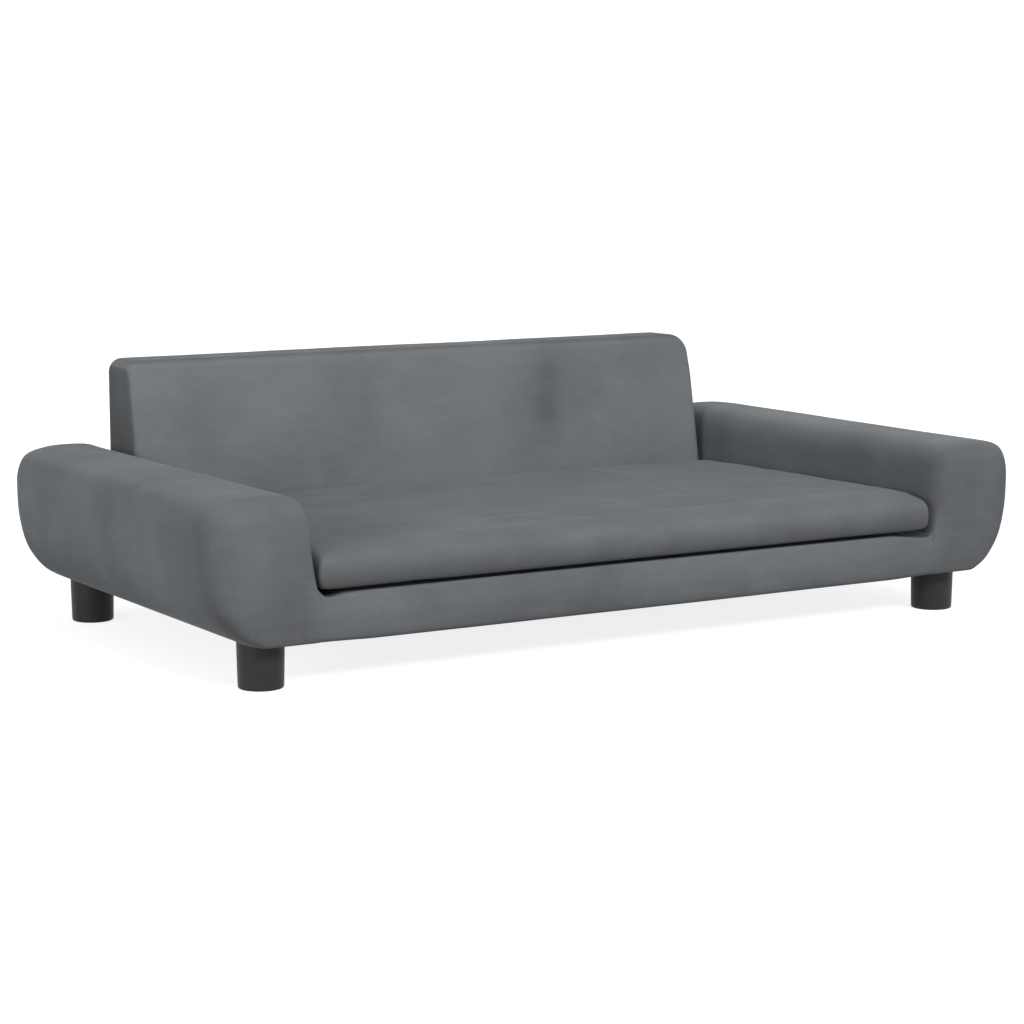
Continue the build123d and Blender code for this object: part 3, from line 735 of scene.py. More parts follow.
def makeBase(shape, napAndShade):
    low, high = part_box("base_cover")
    profile = baseProfile(shape, low, high)
    reach = high.x + shape["intoArm"]
    steps = round(reach / shape["spacing"])
    # columns stand closer together towards both arms
    columns = [reach * math.sin(math.pi / 2 * k / steps) for k in range(-steps, steps + 1)]
    verts = []
    for x in columns:
        side = "left" if x < 0 else "right"
        edge = max(0.0, high.x - abs(x))
        past = max(0.0, abs(x) - high.x - shape["flushPast"])
        past /= shape["intoArm"] - shape["flushPast"]
        depth, dipReach = shape[f"{side}Dip"]
        share = hump(edge, 0, dipReach)
        dip = share * depth
        pocket = max(share * shape["pocketDip"], shape["groove"])
        rise = shape["riseHeight"] * max(0.0, 1 - (reach - abs(x)) / shape[f"{side}Rise"]) ** 2
        clear = ramp(edge, 0, shape["crownFade"])
        crown = shape["frontCrown"] * clear
        slack = shape["endSoftness"] * (1 - ramp(edge, 0, shape["softReach"]))
        for y, z in profile:
            up = (z - low.z) / (high.z - low.z)
            front = 1 - ramp(y - low.y, 0, shape["frontFade"])
            behind = ramp(y - low.y, *shape["grooveStarts"])
            near = 1 - ramp(y - low.y, *shape["pocketEnds"])
            fall = (dip + (pocket - dip) * behind) * near
            forward = front * (shape["tuck"] * past ** 2 - crown * math.sin(math.pi * up) ** 2)
            forward += front * slack * ramp(up, *shape["softStarts"])
            ahead, farther = shape["riseShares"]
            lift = smoothStep(up) ** 2 * (rise * (ahead + farther * behind) - fall)
            sag = shape["hemSag"] * clear * (1 - ramp(up, 0, shape["sagHeight"]))
            verts.append(Vector((x, y + forward, z + lift - sag)))
    faces = gridFaces(len(columns), len(profile))
    base = makePiece("basePad", verts, faces, "sofa", greyVelvet)
    middle = Vector((0, (low.y + high.y) / 2, (low.z + high.z) / 2))
    inside = sum(1 for p in base.data.polygons if p.normal.dot(p.center - middle) < 0)
    if inside > len(base.data.polygons) / 2:
        base.data.flip_normals()

    def swell(place):
        free = ramp(min(place.x - low.x, high.x - place.x), *shape["endsFree"])
        front = smoothStep((low.y + shape["frontFade"] - place.y) / shape["frontFade"])
        wave = softNoise(place, shape["swellSize"], shape["swellShift"])
        return free * front * shape["swell"] * wave

    moveAlongNormals(base, swell)
    paintNapAndShade(base, napAndShade)
    addWall(base, shape["thickness"])
    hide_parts("base_cover", "base_foam")


makeBase(baseShape, frontNapAndShade)
print("base made")


# Backrest

backShape = {
    "topThickness": 0.060,
    "leanShare": 0.185,
    "leftCorner": 0.015,
    "rightCorner": 0.024,
    "spread": 0.0019,
    "spreadStart": 0.262,
    "spreadFade": 0.030,
    "edgeRadius": 0.010,
    "bottomRadius": 0.003,
    "spacing": 0.009,
    "topStretch": 1.5,
    "cornerSteps": 12,
    "edgeSteps": 8,
    "sideSteps": 8,
    "capRings": 34,
    "frontCrown": 0.0022,
    "rearCrown": 0.0008,
    "leastRadius": 0.001,
    "swell": 0.0007,
    "swellLayers": ((0.15, 11.0, 1.0), (0.06, 4.0, 0.4)),
    "sidesFree": (0.002, 0.02),
    "clearRise": 0.02,
}


def backOutline(shape, half, low, high, inset):
    # rounded upper corners and nearly square lower ones, as x and z
    corner, spacing, turns = shape["rightCorner"], shape["spacing"], shape["cornerSteps"]
    sides = round((high - low - corner) / spacing)
    across = round(2 * (half - corner) / (shape["topStretch"] * spacing))
    half, top, bottom = half - inset, high - inset, low + min(inset, shape["bottomRadius"])
    right, left = (max(shape[f"{side}Corner"] - inset, shape["leastRadius"])
                   for side in ("right", "left"))
    points = [(half, bottom + (top - right - bottom) * k / sides) for k in range(sides)]
    points += [(half - right + out, top - right + up)
               for out, up in quarterArc(right, turns)[:-1]]
    points += [(half - right - (2 * half - right - left) * k / across, top) for k in range(across)]
    points += [(-half + left - out, top - left + up)
               for up, out in quarterArc(left, turns)[:-1]]
    points += [(-half, top - left + (bottom - top + left) * k / sides) for k in range(sides)]
    return points + [(-half + 2 * half * k / across, bottom) for k in range(across)]


def makeBackrest(shape, napAndShade):
    low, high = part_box("backrest_cover")
    half, rear, radius = high.x, high.y, shape["edgeRadius"]

    def outline(inset):
        return backOutline(shape, half, low.z, high.z, inset)

    def frontAt(z):
        return rear - shape["topThickness"] - shape["leanShare"] * (high.z - z)

    def between(z, share):
        start, end = frontAt(z) + radius, rear - radius
        return start + (end - start) * share

    edges = [(radius * (1 - up), radius * (1 - across))
             for across, up in quarterArc(1, shape["edgeSteps"])[:-1]]
    rings = [[Vector((x, frontAt(z) + deep, z)) for x, z in outline(inset)]
             for inset, deep in edges]
    rings += [[Vector((x, between(z, k / shape["sideSteps"]), z)) for x, z in outline(0)]
              for k in range(shape["sideSteps"] + 1)]
    rings += [[Vector((x, rear - deep, z)) for x, z in outline(inset)]
              for inset, deep in reversed(edges)]
    slope = Vector((0, -1, -shape["leanShare"])).normalized()
    verts, faces = cappedShell(rings, shape["capRings"], (shape["frontCrown"], slope),
                               (shape["rearCrown"], (0, 1, 0)))
    backrest = makePiece("backrestPad", verts, faces, "sofa", greyVelvet)
    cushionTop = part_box("cushion_cover")[1].z

    def swell(place):
        free = ramp(half - abs(place.x), *shape["sidesFree"])
        clear = ramp(place.z, cushionTop, shape["clearRise"])
        return free * clear * shape["swell"] * layeredNoise(place, shape["swellLayers"])

    moveAlongNormals(backrest, swell)
    # the right end bulges below its softer corner
    for vertex in backrest.data.vertices:
        below = smoothStep((shape["spreadStart"] - vertex.co.z) / shape["spreadFade"])
        vertex.co.x += shape["spread"] * below * max(0.0, vertex.co.x / half) ** 3
    paintNapAndShade(backrest, napAndShade)
    addSubdivision(backrest, 1)
    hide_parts("backrest_cover", "backrest_foam")


backPileAndShade = {
    "level": 0.70,
    # painted shade on the top face and on the end faces
    "topStarts": (0.279, 0.004),
    "topLoss": 0.55,
    "endStart": (0.3737, 0.19),
    "endLoss": 0.80,
    "marksEnd": 0.235,
    "mottle": ((0.11, 13.0, 0.16), (0.04, 6.0, 0.1)),
}
# brushed marks on the front of the backrest, the last one a painted highlight band along its top:
# x, z, half width, half height, change
brushMarks = (
    (0.162, 0.205, 0.020, 0.038, -0.55),
    (0.165, 0.255, 0.010, 0.020, -0.35),
    (-0.080, 0.190, 0.040, 0.030, -0.22),
    (-0.200, 0.235, 0.060, 0.030, 0.22),
    (0.060, 0.245, 0.070, 0.025, 0.18),
    (0.270, 0.225, 0.045, 0.035, 0.18),
    (-0.330, 0.260, 0.030, 0.020, 0.20),
    (-0.120, 0.160, 0.120, 0.020, -0.15),
    # a painted highlight band along the top of the front
    (0.000, 0.272, 0.600, 0.014, 0.16),
)


def backNapAndShade(place):
    pile = backPileAndShade
    level = pile["level"] + layeredNoise(place, pile["mottle"])
    # painted shade on the top face and on the end faces
    level -= pile["topLoss"] * ramp(place.z, *pile["topStarts"])
    if abs(place.x) > pile["endStart"][0] and place.y > pile["endStart"][1]:
        level -= pile["endLoss"]
    if place.y < pile["marksEnd"]:
        for x, z, wide, tall, change in brushMarks:
            level += change * hump(place.x, x, wide) * hump(place.z, z, tall)
    return level


makeBackrest(backShape, backNapAndShade)
print("backrest made")


# Loose cushion

cushionShape = {
    # seen from its end: share of the depth from front to back, share of the thickness up
    "outlineShares": ((0.0200, 0.000), (0.0090, 0.030), (0.0024, 0.110), (0.000, 0.420),
                      (0.010, 0.800), (0.055, 0.955), (0.300, 1.000), (0.955, 0.880),
                      (0.990, 0.820), (1.000, 0.700), (1.000, 0.280), (0.990, 0.080),
                      (0.968, 0.000)),
    "pointSpacing": 0.006,
    "lead": 0.02,
    "endReach": 0.0031,
    "sideShift": -0.0022,
    "floorGap": 0.0004,
    # what the even faces and the filling take away, or add where it is negative
    "endSpare": 0.0018,
    "frontSpare": 0.0028,
    "rearSpare": 0.0011,
    "levelSpare": -0.0020,
    "endTopRadius": 0.008,
    "endBottomRadius": 0.004,
    "frontCorner": 0.002,
    "squareCorner": 0.011,
    "leftSquareness": 5.0,
    "rightSquareness": 2.6,
    "rearCorner": 0.016,
    "endDepth": 0.016,
    "endFall": 0.0024,
    "fallLength": 0.22,
    "endSteps": 10,
    "bodySteps": 110,
    "capRings": 5,
    "voxel": 0.0052,
    "easing": {"factor": 0.5, "iterations": 2},
    "cloth": {"quality": 5, "mass": 0.3, "tension_stiffness": 20, "compression_stiffness": 20,
              "bending_stiffness": 1.0, "use_pressure": True, "uniform_pressure_force": 4.0},
    "frames": 20,
    "cap": 0.0022,
    "leastShift": 1e-7,
    "swell": 0.0007,
    "swellLayers": ((0.16, 21.0, 1.0), (0.05, 17.0, 0.35)),
    "upperStarts": (0.012, 0.012),
    "rearFlat": (0.02, 0.04),
}


def cushionRing(shape, outline, low, high, x, distance):
    above = roundedIn(distance, shape["endTopRadius"])
    below = roundedIn(distance, shape["endBottomRadius"])
    fall = shape["endFall"] * max(0.0, 1 - distance / shape["fallLength"]) ** 2
    front = low.y + roundedIn(distance, shape["frontCorner"])
    back = high.y - roundedIn(distance, shape["rearCorner"])
    bottom = low.z + below
    height = high.z - low.z - below - above - fall
    return [Vector((x, front + along * (back - front), bottom + up * height))
            for along, up in outline]


def cushionStart(shape, low, high):
    filled = 1
    level = filled * shape["levelSpare"]
    end = high.x + shape["endReach"] + filled * shape["endSpare"]
    low = Vector((-end, low.y - filled * shape["frontSpare"], low.z + shape["floorGap"] - level))
    high = Vector((end, high.y + filled * shape["rearSpare"], high.z + level))
    depth, thickness = high.y - low.y, high.z - low.z
    flat = [Vector((along * depth, up * thickness, 0)) for along, up in shape["outlineShares"]]
    aside = Vector((shape["lead"], 0, 0))
    loop = splinePoints(flat, flat[0] + aside, flat[-1] - aside, shape["pointSpacing"])
    gap = flat[-1].x - flat[0].x
    steps = round(gap / shape["pointSpacing"])
    loop += [Vector((flat[-1].x - gap * k / steps, 0, 0)) for k in range(1, steps)]
    outline = [(p.x / depth, p.y / thickness) for p in loop]
    corner, count = shape["endDepth"], shape["bodySteps"]
    reach = high.x - corner
    ends = easedIn(corner, shape["endSteps"])
    body = [reach - 2 * reach * k / count for k in range(count + 1)]
    stations = [(high.x - distance, distance) for distance in ends]
    stations += [(x, reach + corner - abs(x)) for x in body]
    stations += [(-(high.x - distance), distance) for distance in reversed(ends)]
    rings = [cushionRing(shape, outline, low, high, *station) for station in stations]
    return cappedShell(rings, shape["capRings"], (0.0, (1, 0, 0)), (0.0, (-1, 0, 0)))


def easeFaces(piece, values):
    easing = piece.modifiers.new("ease", "SMOOTH")
    for name, value in values.items():
        setattr(easing, name, value)


def bakeModifiers(piece):
    graph = bpy.context.evaluated_depsgraph_get()
    graph.update()
    baked = bpy.data.meshes.new_from_object(piece.evaluated_get(graph))
    old = piece.data
    piece.modifiers.clear()
    piece.data = baked
    bpy.data.meshes.remove(old)


def puffUp(piece, shape):
    # cloth filled with air, whose points may only move as far as the cap lets them
    start = [v.co.copy() for v in piece.data.vertices]
    cloth = piece.modifiers.new("fill", "CLOTH")
    for name, value in shape["cloth"].items():
        setattr(cloth.settings, name, value)
    cloth.settings.effector_weights.gravity = 0
    cloth.collision_settings.use_collision = False
    cloth.point_cache.frame_start = 1
    cloth.point_cache.frame_end = shape["frames"]
    for step in range(1, shape["frames"] + 1):
        bpy.context.scene.frame_set(step)
    graph = bpy.context.evaluated_depsgraph_get()
    moved = [v.co.copy() for v in piece.evaluated_get(graph).data.vertices]
    piece.modifiers.remove(cloth)
    bpy.context.scene.frame_set(1)
    for vertex, origin, place in zip(piece.data.vertices, start, moved):
        shift = place - origin
        if shift.length > shape["leastShift"]:
            shift = shift.normalized() * shape["cap"] * math.tanh(shift.length / shape["cap"])
        vertex.co = origin + shift
    piece.data.update()


cushionCreases = (
    ((0.05, -0.215, 0.140), (1, 0.02, 0), 0.30, 0.010, 0.0008),
    ((-0.15, -0.170, 0.141), (1, 0.06, 0), 0.18, 0.009, 0.0007),
    ((0.20, -0.130, 0.141), (1, -0.04, 0), 0.12, 0.008, 0.0006),
    ((0.27, -0.200, 0.140), (1, -0.10, 0), 0.06, 0.006, 0.0007),
    ((0.31, -0.050, 0.139), (0.9, -0.43, 0), 0.05, 0.006, 0.0008),
    ((0.33, 0.030, 0.138), (0.92, -0.38, 0), 0.05, 0.006, 0.0007),
)


def makeCushion(shape, creases):
    low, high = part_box("cushion_cover")
    verts, faces = cushionStart(shape, low, high)
    cushion = makePiece("seatCushionPad", verts, faces, "cushion", greyVelvet)
    remesh = cushion.modifiers.new("evenFaces", "REMESH")
    remesh.mode = "VOXEL"
    remesh.voxel_size = shape["voxel"]
    remesh.use_smooth_shade = True
    easeFaces(cushion, shape["easing"])
    bakeModifiers(cushion)
    puffUp(cushion, shape)
    easeFaces(cushion, shape["easing"])
    addSubdivision(cushion, 1)
    bakeModifiers(cushion)

    # the front corners are squarer in plan than the filling leaves them, the left one most
    reach = max(v.co.x for v in cushion.data.vertices) - shape["squareCorner"]
    fore = min(v.co.y for v in cushion.data.vertices) + shape["squareCorner"]
    for vertex in cushion.data.vertices:
        power = shape["leftSquareness"] if vertex.co.x < 0 else shape["rightSquareness"]
        across, ahead = abs(vertex.co.x) - reach, fore - vertex.co.y
        if across > 0 and ahead > 0:
            turn = math.atan2(ahead, across)
            grow = (math.cos(turn) ** power + math.sin(turn) ** power) ** (-1 / power)
            vertex.co.x = math.copysign(reach + across * grow, vertex.co.x)
            vertex.co.y = fore - ahead * grow

    def swell(place):
        upper = ramp(place.z - low.z, *shape["upperStarts"])
        flat, fade = shape["rearFlat"]
        front = smoothStep((high.y - flat - place.y) / fade)
        wave = shape["swell"] * layeredNoise(place, shape["swellLayers"])
        return front * upper * (wave - creaseDepth(place, creases))

    moveAlongNormals(cushion, swell)
    for vertex in cushion.data.vertices:
        vertex.co.x += shape["sideShift"]
    return cushion


cushionPileAndShade = {
    "level": 0.08,
    # painted shade low on the front and a painted highlight along its upper edge
    "frontEnds": (0.02, 0.06),
    "frontLoss": 0.46,
    "upperStarts": (0.006, 0.03),
    "upperGain": 0.76,
    "mottle": ((0.13, 23.0, 0.2), (0.05, 29.0, 0.1)),
}
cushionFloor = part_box("cushion_cover")[0].z


def cushionNapAndShade(place):
    # darker all over, with a painted highlight along the upper front edge and painted shade under
    # the front edge
    pile = cushionPileAndShade
    front = 1 - ramp(place.y - cadBox[0].y, *pile["frontEnds"])
    upper = ramp(place.z - cushionFloor, *pile["upperStarts"])
    level = pile["level"] + front * (pile["upperGain"] * upper - pile["frontLoss"])
    return level + layeredNoise(place, pile["mottle"])


cushionPad = makeCushion(cushionShape, cushionCreases)
print("cushion made:", len(cushionPad.data.polygons), "faces")

zipPlace = {
    "windowMargin": 0.0006,
    "windowDepth": 0.0042,
    "cutPast": 0.02,
    "endSteps": 8,
    "slotHalf": 0.0007,
}


def windowBand(place):
    # middle and half height of the cover's slot
    low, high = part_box("zip_slider")
    return (high.z + low.z) / 2, (high.z - low.z) / 2 + place["windowMargin"]


def cutZipWindow(cushion, place):
    # the cover's slot round the zip, cut as a long groove with rounded ends
    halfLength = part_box("zip_tapes")[1].x
    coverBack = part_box("cushion_cover")[1].y
    middle, halfHeight = windowBand(place)
    points = []
    for side in (1, -1):
        for k in range(place["endSteps"] + 1):
            turn = math.radians(-90 * side + 180 * k / place["endSteps"])
            points.append((side * (halfLength - halfHeight) + halfHeight * math.cos(turn),
                           middle + halfHeight * math.sin(turn)))
    count = len(points)
    near, far = coverBack - place["windowDepth"], coverBack + place["cutPast"]
    verts = [(x, y, z) for y in (near, far) for x, z in points]
    faces = [tuple(range(count)), tuple(range(count, 2 * count))] + bandFaces(count, 2)
    cutter = makePiece("windowCutter", verts, faces, "cushion", greyVelvet)
    cut = cushion.modifiers.new("zipWindow", "BOOLEAN")
    cut.operation = "DIFFERENCE"
    cut.solver = "EXACT"
    cut.object = cutter
    bakeModifiers(cushion)
    bpy.data.objects.remove(cutter)


cutZipWindow(cushionPad, zipPlace)
paintNapAndShade(cushionPad, cushionNapAndShade)
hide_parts("cushion_cover", "cushion_foam")
print("zip window cut")


# Feet

footShape = {
    "skin": 0.0006,
    "taper": 0.001,
    "bevel": 0.0016,
    "topBevel": 0.0006,
    "recessRadius": 0.015,
    "recessDepth": 0.0012,
    "sides": 72,
}


def footProfile(shape, wide, low, high):
    # radius and height, from the recess underneath, up the side, to the top
    foot, recess = wide - shape["taper"], shape["recessRadius"]
    sunk, bevel, topBevel = shape["recessDepth"], shape["bevel"], shape["topBevel"]
    return (
        (recess * 0.5, low + sunk), (recess - 0.0012, low + sunk), (recess, low + sunk * 0.75),
        (recess + 0.0008, low + 0.0002), (recess + 0.0016, low), (foot - bevel - 0.0006, low),
        (foot - bevel * 0.9, low + 0.00004), (foot - bevel * 0.45, low + bevel * 0.28),
        (foot - bevel * 0.12, low + bevel * 0.7), (foot, low + bevel * 1.3),
        (foot + 0.00005, low + bevel * 2.2), (foot + 0.0005, low + (high - low) * 0.5),
        (wide - 0.00003, high - topBevel * 2), (wide - 0.0001, high - topBevel),
        (wide - topBevel, high - 0.00005), (wide - topBevel * 2, high), (wide * 0.5, high))


def makeFoot(node, shape):
    low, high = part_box(node)
    cx, cy = (low.x + high.x) / 2, (low.y + high.y) / 2
    wide = (high.x - low.x) / 2 + shape["skin"]
    turns = [2 * math.pi * k / shape["sides"] for k in range(shape["sides"])]
    rings = [[Vector((cx + radius * math.cos(turn), cy + radius * math.sin(turn), z))
              for turn in turns] for radius, z in footProfile(shape, wide, low.z, high.z)]
    verts, faces = ringShell(rings)
    words = node.split("_")
    name = words[0] + words[1].capitalize() + "FootMoulding"
    foot = makePiece(name, verts, faces, "sofa", footPlastic)
    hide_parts(node)


for footNode in ("left_front_foot", "left_back_foot", "right_front_foot", "right_back_foot"):
    makeFoot(footNode, footShape)
print("feet made")


# Zip: woven tapes, coil rows and the sewing along the slot

def rowTree(name, material, buildShape):
    # copies of one small shape, evenly spaced along X from a first place
    tree = bpy.data.node_groups.new(name, "GeometryNodeTree")
    for label, kind in (("First Place", "NodeSocketVector"), ("Spacing", "NodeSocketFloat"),
                        ("Count", "NodeSocketInt"), ("Wire Radius", "NodeSocketFloat"),
                        ("Reach", "NodeSocketFloat")):
        tree.interface.new_socket(name=label, in_out="INPUT", socket_type=kind)
    tree.interface.new_socket(name="Geometry", in_out="OUTPUT", socket_type="NodeSocketGeometry")
    given = tree.nodes.new("NodeGroupInput")
    result = tree.nodes.new("NodeGroupOutput")
    step = addNode(tree, "ShaderNodeCombineXYZ", [(0, given.outputs["Spacing"])])
    line = addNode(tree, "GeometryNodeMeshLine", [
        ("Count", given.outputs["Count"]), ("Start Location", given.outputs["First Place"]),
        ("Offset", step.outputs[0])])
    shape = buildShape(tree, given)
    copies = addNode(tree, "GeometryNodeInstanceOnPoints", [
        ("Points", line.outputs["Mesh"]), ("Instance", shape)])
    real = addNode(tree, "GeometryNodeRealizeInstances", [("Geometry", copies.outputs[0])])
    smooth = addNode(tree, "GeometryNodeSetShadeSmooth", [("Geometry", real.outputs[0])])
    finish = addNode(tree, "GeometryNodeSetMaterial", [
        ("Geometry", smooth.outputs[0]), ("Material", material)])
    feed(result, [(0, finish.outputs[0])])
    return tree


def archShape(axis, shape):
    # a short bent wire: rises from one foot, goes over and comes down again
    def build(tree, given):
        reach = given.outputs["Reach"]
        rise = (1, times(tree, reach, shape["rise"]))

        def point(share, *lift):
            across = (axis, times(tree, reach, share))
            return addNode(tree, "ShaderNodeCombineXYZ", [across, *lift]).outputs[0]

        arc = addNode(tree, "GeometryNodeCurvePrimitiveBezierSegment", [
            ("Resolution", shape["steps"]), ("Start", point(-1.0)), ("End", point(1.0)),
            ("Start Handle", point(-shape["spread"], rise)),
            ("End Handle", point(shape["spread"], rise))])
        ring = addNode(tree, "GeometryNodeCurvePrimitiveCircle", mode="RADIUS")
        feed(ring, [("Resolution", shape["sides"]), ("Radius", given.outputs["Wire Radius"])])
        wire = addNode(tree, "GeometryNodeCurveToMesh", [
            ("Curve", arc.outputs[0]), ("Profile Curve", ring.outputs[0]), ("Fill Caps", True)])
        return wire.outputs[0]
    return build


def runTree(tree, name, body, values):
    # the tree's result as a plain mesh object
    piece = addObject(name, bpy.data.meshes.new(name))
    modifier = piece.modifiers.new("rows", "NODES")
    modifier.node_group = tree
    for item in tree.interface.items_tree:
        if item.item_type == "SOCKET" and item.in_out == "INPUT" and item.name in values:
            modifier[item.identifier] = values[item.name]
    bakeModifiers(piece)
    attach(piece, body)
    return piece


def makeRows(name, tree, firsts, values):
    # a row from each first place, all joined into one piece
    rows = [runTree(tree, f"{name}{i}", "cushion", {"First Place": first, **values})
            for i, first in enumerate(firsts)]
    built = bmesh.new()
    for row in rows:
        built.from_mesh(row.data)
    built.to_mesh(rows[0].data)
    built.free()
    for row in rows[1:]:
        bpy.data.objects.remove(row)
    rows[0].name = name
    return rows[0]


coilShape = {"pitch": 0.0015, "wire": 0.00034, "rise": 1.24, "spread": 1.25, "steps": 7,
             "sides": 5, "lead": (0.5, 0.25)}
stitchShape = {"pitch": 0.0034, "length": 0.0023, "wire": 0.00026, "rise": 0.35, "spread": 0.6,
               "steps": 5, "sides": 5, "fromEdge": 0.0024}
tapeShape = {
    # share of the width away from the slot, share of the thickness: a corded edge, then flat
    "profile": ((0.0, 0.0), (0.0, 0.45), (0.06, 0.9), (0.16, 1.0),
                (0.28, 0.8), (0.42, 0.62), (1.0, 0.62), (1.0, 0.0)),
    "steps": 60,
}


def makeCoils(shape, slotHalf):
    low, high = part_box("zip_chain")
    middle = (low.z + high.z) / 2
    rowHalf = (high.z - middle - slotHalf) / 2
    lead, stagger = shape["lead"]
    firsts = [(low.x + shape["pitch"] * (lead + stagger * side), low.y,
               middle + side * (slotHalf + rowHalf)) for side in (-1, 1)]
    coils = makeRows("zipCoils", rowTree("coilRow", coilNylon, archShape(2, shape)), firsts, {
        "Spacing": shape["pitch"], "Count": int((high.x - low.x) / shape["pitch"]),
        "Wire Radius": shape["wire"], "Reach": rowHalf - shape["wire"]})
    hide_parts("zip_chain")


def makeStitches(shape, place):
    low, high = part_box("zip_tapes")
    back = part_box("cushion_cover")[1].y
    middle, halfHeight = windowBand(place)
    firsts = [(low.x + shape["pitch"] / 2, back, middle + side * (halfHeight + shape["fromEdge"]))
              for side in (-1, 1)]
    makeRows("zipSewing", rowTree("zipSewing", seamThread, archShape(0, shape)), firsts, {
        "Spacing": shape["pitch"], "Count": int((high.x - low.x) / shape["pitch"]),
        "Wire Radius": shape["wire"], "Reach": shape["length"] / 2})


def makeTapes(shape, slotHalf):
    # two woven strips with a thicker corded edge beside the coils
    low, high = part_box("zip_tapes")
    middle = (low.z + high.z) / 2
    verts, faces = [], []
    steps, count = shape["steps"], len(shape["profile"])
    for side in (-1, 1):
        first = len(verts)
        for k in range(steps + 1):
            x = low.x + (high.x - low.x) * k / steps
            for out, thick in shape["profile"]:
                z = middle + side * (slotHalf + out * (high.z - middle - slotHalf))
                verts.append((x, low.y + thick * (high.y - low.y), z))
        faces += bandFaces(count, steps + 1, first)
        faces += [tuple(range(start, start + count)) for start in (first, first + steps * count)]
    tapes = makePiece("zipTapePair", verts, faces, "cushion", zipTapeCloth)
    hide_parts("zip_tapes")


makeTapes(tapeShape, zipPlace["slotHalf"])
makeCoils(coilShape, zipPlace["slotHalf"])
makeStitches(stitchShape, zipPlace)
print("zip made")


# Dust cloth under the base

dustShape = {
    "spacing": 0.012,
    "thickness": 0.0002,
    "below": 0.0003,
    "edgeFlat": (0.018, 0.05),
    "sag": 0.0022,
    "bays": 3,
    "bayShape": 0.7,
    "pucker": 0.0005,
    "puckerSize": 0.05,
    "puckerShift": 31.0,
}


def makeDustCloth(shape):
    low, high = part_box("dust_cover")
    columns = round((high.x - low.x) / shape["spacing"])
    rows = round((high.y - low.y) / shape["spacing"])
    verts = []
    for i in range(columns + 1):
        for j in range(rows + 1):
            shareX, shareY = i / columns, j / rows
            x = low.x + (high.x - low.x) * shareX
            y = low.y + (high.y - low.y) * shareY
            edge = min(shareX * columns, columns - shareX * columns,
                       shareY * rows, rows - shareY * rows)
            free = ramp(edge * shape["spacing"], *shape["edgeFlat"])
            bays = abs(math.sin(shape["bays"] * math.pi * shareX)) ** shape["bayShape"]
            hang = shape["sag"] * free * bays * math.sin(math.pi * shareY)
            place = Vector((x, y, 0))
            wave = softNoise(place, shape["puckerSize"], shape["puckerShift"])
            pucker = abs(shape["pucker"] * free * wave)
            verts.append((x, y, low.z + shape["below"] - hang - pucker))
    faces = gridFaces(columns + 1, rows + 1)
    cloth = makePiece("dustClothSheet", verts, faces, "sofa", dustCloth)
    if sum(p.normal.z for p in cloth.data.polygons) > 0:
        cloth.data.flip_normals()
    addWall(cloth, shape["thickness"])
    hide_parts("dust_cover")


makeDustCloth(dustShape)
print("dust cloth made")


# Finishes of the pieces that stay as they were packed

def paintNodes(material, names):
    for name in names:
        mesh = nodes[name].data
        mesh.materials.clear()
        mesh.materials.append(material)


paintNodes(pineAcross, ("front_rail", "back_rail", "back_rail_inner"))
paintNodes(pineDeep, ("end_rails", "cross_rails", "left_arm_battens", "right_arm_battens"))
paintNodes(plyAcross, ("deck_board", "back_panel", "back_slope_board"))
paintNodes(plyDeep, ("back_ribs",) + tuple(
    f"{side}_arm_{piece}" for side in ("left", "right")
    for piece in ("formers", "bent_board", "inner_board", "base_board")))
paintNodes(zincPlate, ("arm_bolts", "arm_bolt_nuts", "back_bolts", "back_bolt_nuts", "foot_studs",
                       "foot_nuts", "dust_cover_staples"))
paintNodes(darkPlate, ("zip_slider", "zip_stops"))
print("packed pieces finished")


# Floor, light and camera

stageLook = {
    "floorSize": 30.0,
    "floorColour": (0.52, 0.52, 0.52, 1),
    "glowFrom": 0.75,
    "glowTo": 1.6,
    "nearGlow": 0.84,
    "farGlow": 1.0,
    "ambient": 0.42,
}
# place, target, size and power
lamps = {
    "topLamp": ((-0.2, 0.4, 2.2), (0.0, 0.0, 0.1), (2.4, 1.8), 1.0),
    "frontLamp": ((0.3, -4.0, 2.45), (0.0, 0.0, 0.12), (2.6, 0.9), 130.0),
    "sideLamp": ((-2.9, -0.9, 0.7), (0.0, 0.0, 0.12), (1.4, 0.9), 23.0),
}
photoCamera = {
    "lens": 94.25,
    "sensor": 36.0,
    "place": (-1.5353, -2.53086, 0.5422),
    "turn": (90 - 8.234, 0.065, -31.185),
}


def finishSeen(tree, kind, unseen, seen):
    # the first shader lights the scene, the second is what the camera sees, also through
    # clear matter and in reflections
    path = addNode(tree, "ShaderNodeLightPath")
    looks = mathNode(tree, "MAXIMUM", path.outputs["Is Camera Ray"], path.outputs["Is Glossy Ray"])
    looks = mathNode(tree, "MAXIMUM", looks, path.outputs["Is Transmission Ray"])
    choose = addNode(tree, "ShaderNodeMixShader", [(0, looks), (1, unseen), (2, seen)])
    addNode(tree, kind, [(0, choose.outputs[0])])


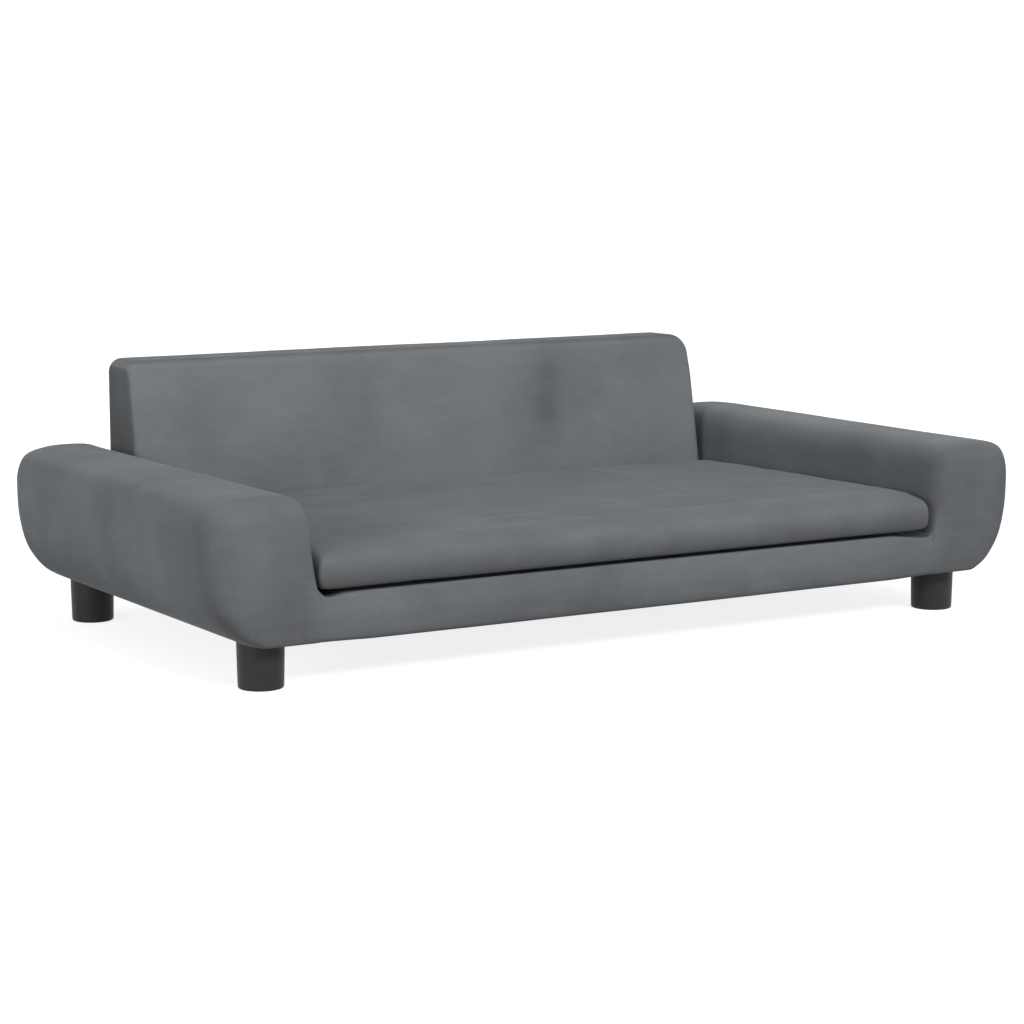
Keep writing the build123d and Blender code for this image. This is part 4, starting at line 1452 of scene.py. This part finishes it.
def makeFloor(look):
    size = look["floorSize"]
    verts = [(-size, -size, 0), (size, -size, 0), (size, size, 0), (-size, size, 0)]
    mesh = bpy.data.meshes.new("paleFloor")
    mesh.from_pydata(verts, [], [(0, 1, 2, 3)])
    floor = addObject("paleFloor", mesh)
    material = bpy.data.materials.new("palePaint")
    material.use_nodes = True
    tree = material.node_tree
    tree.nodes.clear()
    paper = addNode(tree, "ShaderNodeBsdfDiffuse", [("Color", look["floorColour"])]).outputs[0]
    # the floor glows more away from the object, so that it meets the white surround unseen
    place = addNode(tree, "ShaderNodeTexCoord")
    far = addNode(tree, "ShaderNodeVectorMath", [(0, place.outputs["Object"])], operation="LENGTH")
    lift = mapTo(tree, far.outputs["Value"], look["glowFrom"], look["glowTo"],
                 look["nearGlow"], look["farGlow"])
    glow = addNode(tree, "ShaderNodeEmission", [("Color", (1, 1, 1, 1)), ("Strength", lift)])
    both = addNode(tree, "ShaderNodeAddShader", [(0, paper), (1, glow.outputs[0])])
    finishSeen(tree, "ShaderNodeOutputMaterial", paper, both.outputs[0])
    mesh.materials.append(material)


def makeWorld(look):
    world = bpy.data.worlds.new("paleStudio")
    bpy.context.scene.world = world
    world.use_nodes = True
    world.node_tree.nodes.clear()
    soft, white = (addNode(world.node_tree, "ShaderNodeBackground", [
        ("Color", (1, 1, 1, 1)), ("Strength", strength)]) for strength in (look["ambient"], 1.0))
    finishSeen(world.node_tree, "ShaderNodeOutputWorld", soft.outputs[0], white.outputs[0])


def makeLamp(name, place, target, size, power):
    lamp = bpy.data.lights.new(name, "AREA")
    lamp.shape = "RECTANGLE"
    lamp.size, lamp.size_y = size
    lamp.energy = power
    holder = addObject(name, lamp)
    holder.location = place
    holder.rotation_euler = (Vector(target) - Vector(place)).to_track_quat("-Z", "Y").to_euler()


def makeCamera(view):
    camera = bpy.data.cameras.new("photoCamera")
    camera.lens = view["lens"]
    camera.sensor_width = view["sensor"]
    holder = addObject("photoCamera", camera)
    holder.location = view["place"]
    holder.rotation_euler = [math.radians(angle) for angle in view["turn"]]
    bpy.context.scene.camera = holder


makeFloor(stageLook)
makeWorld(stageLook)
for lampName, values in lamps.items():
    makeLamp(lampName, *values)
makeCamera(photoCamera)
bpy.context.scene.view_settings.view_transform = "Standard"
print("floor, light and camera made")
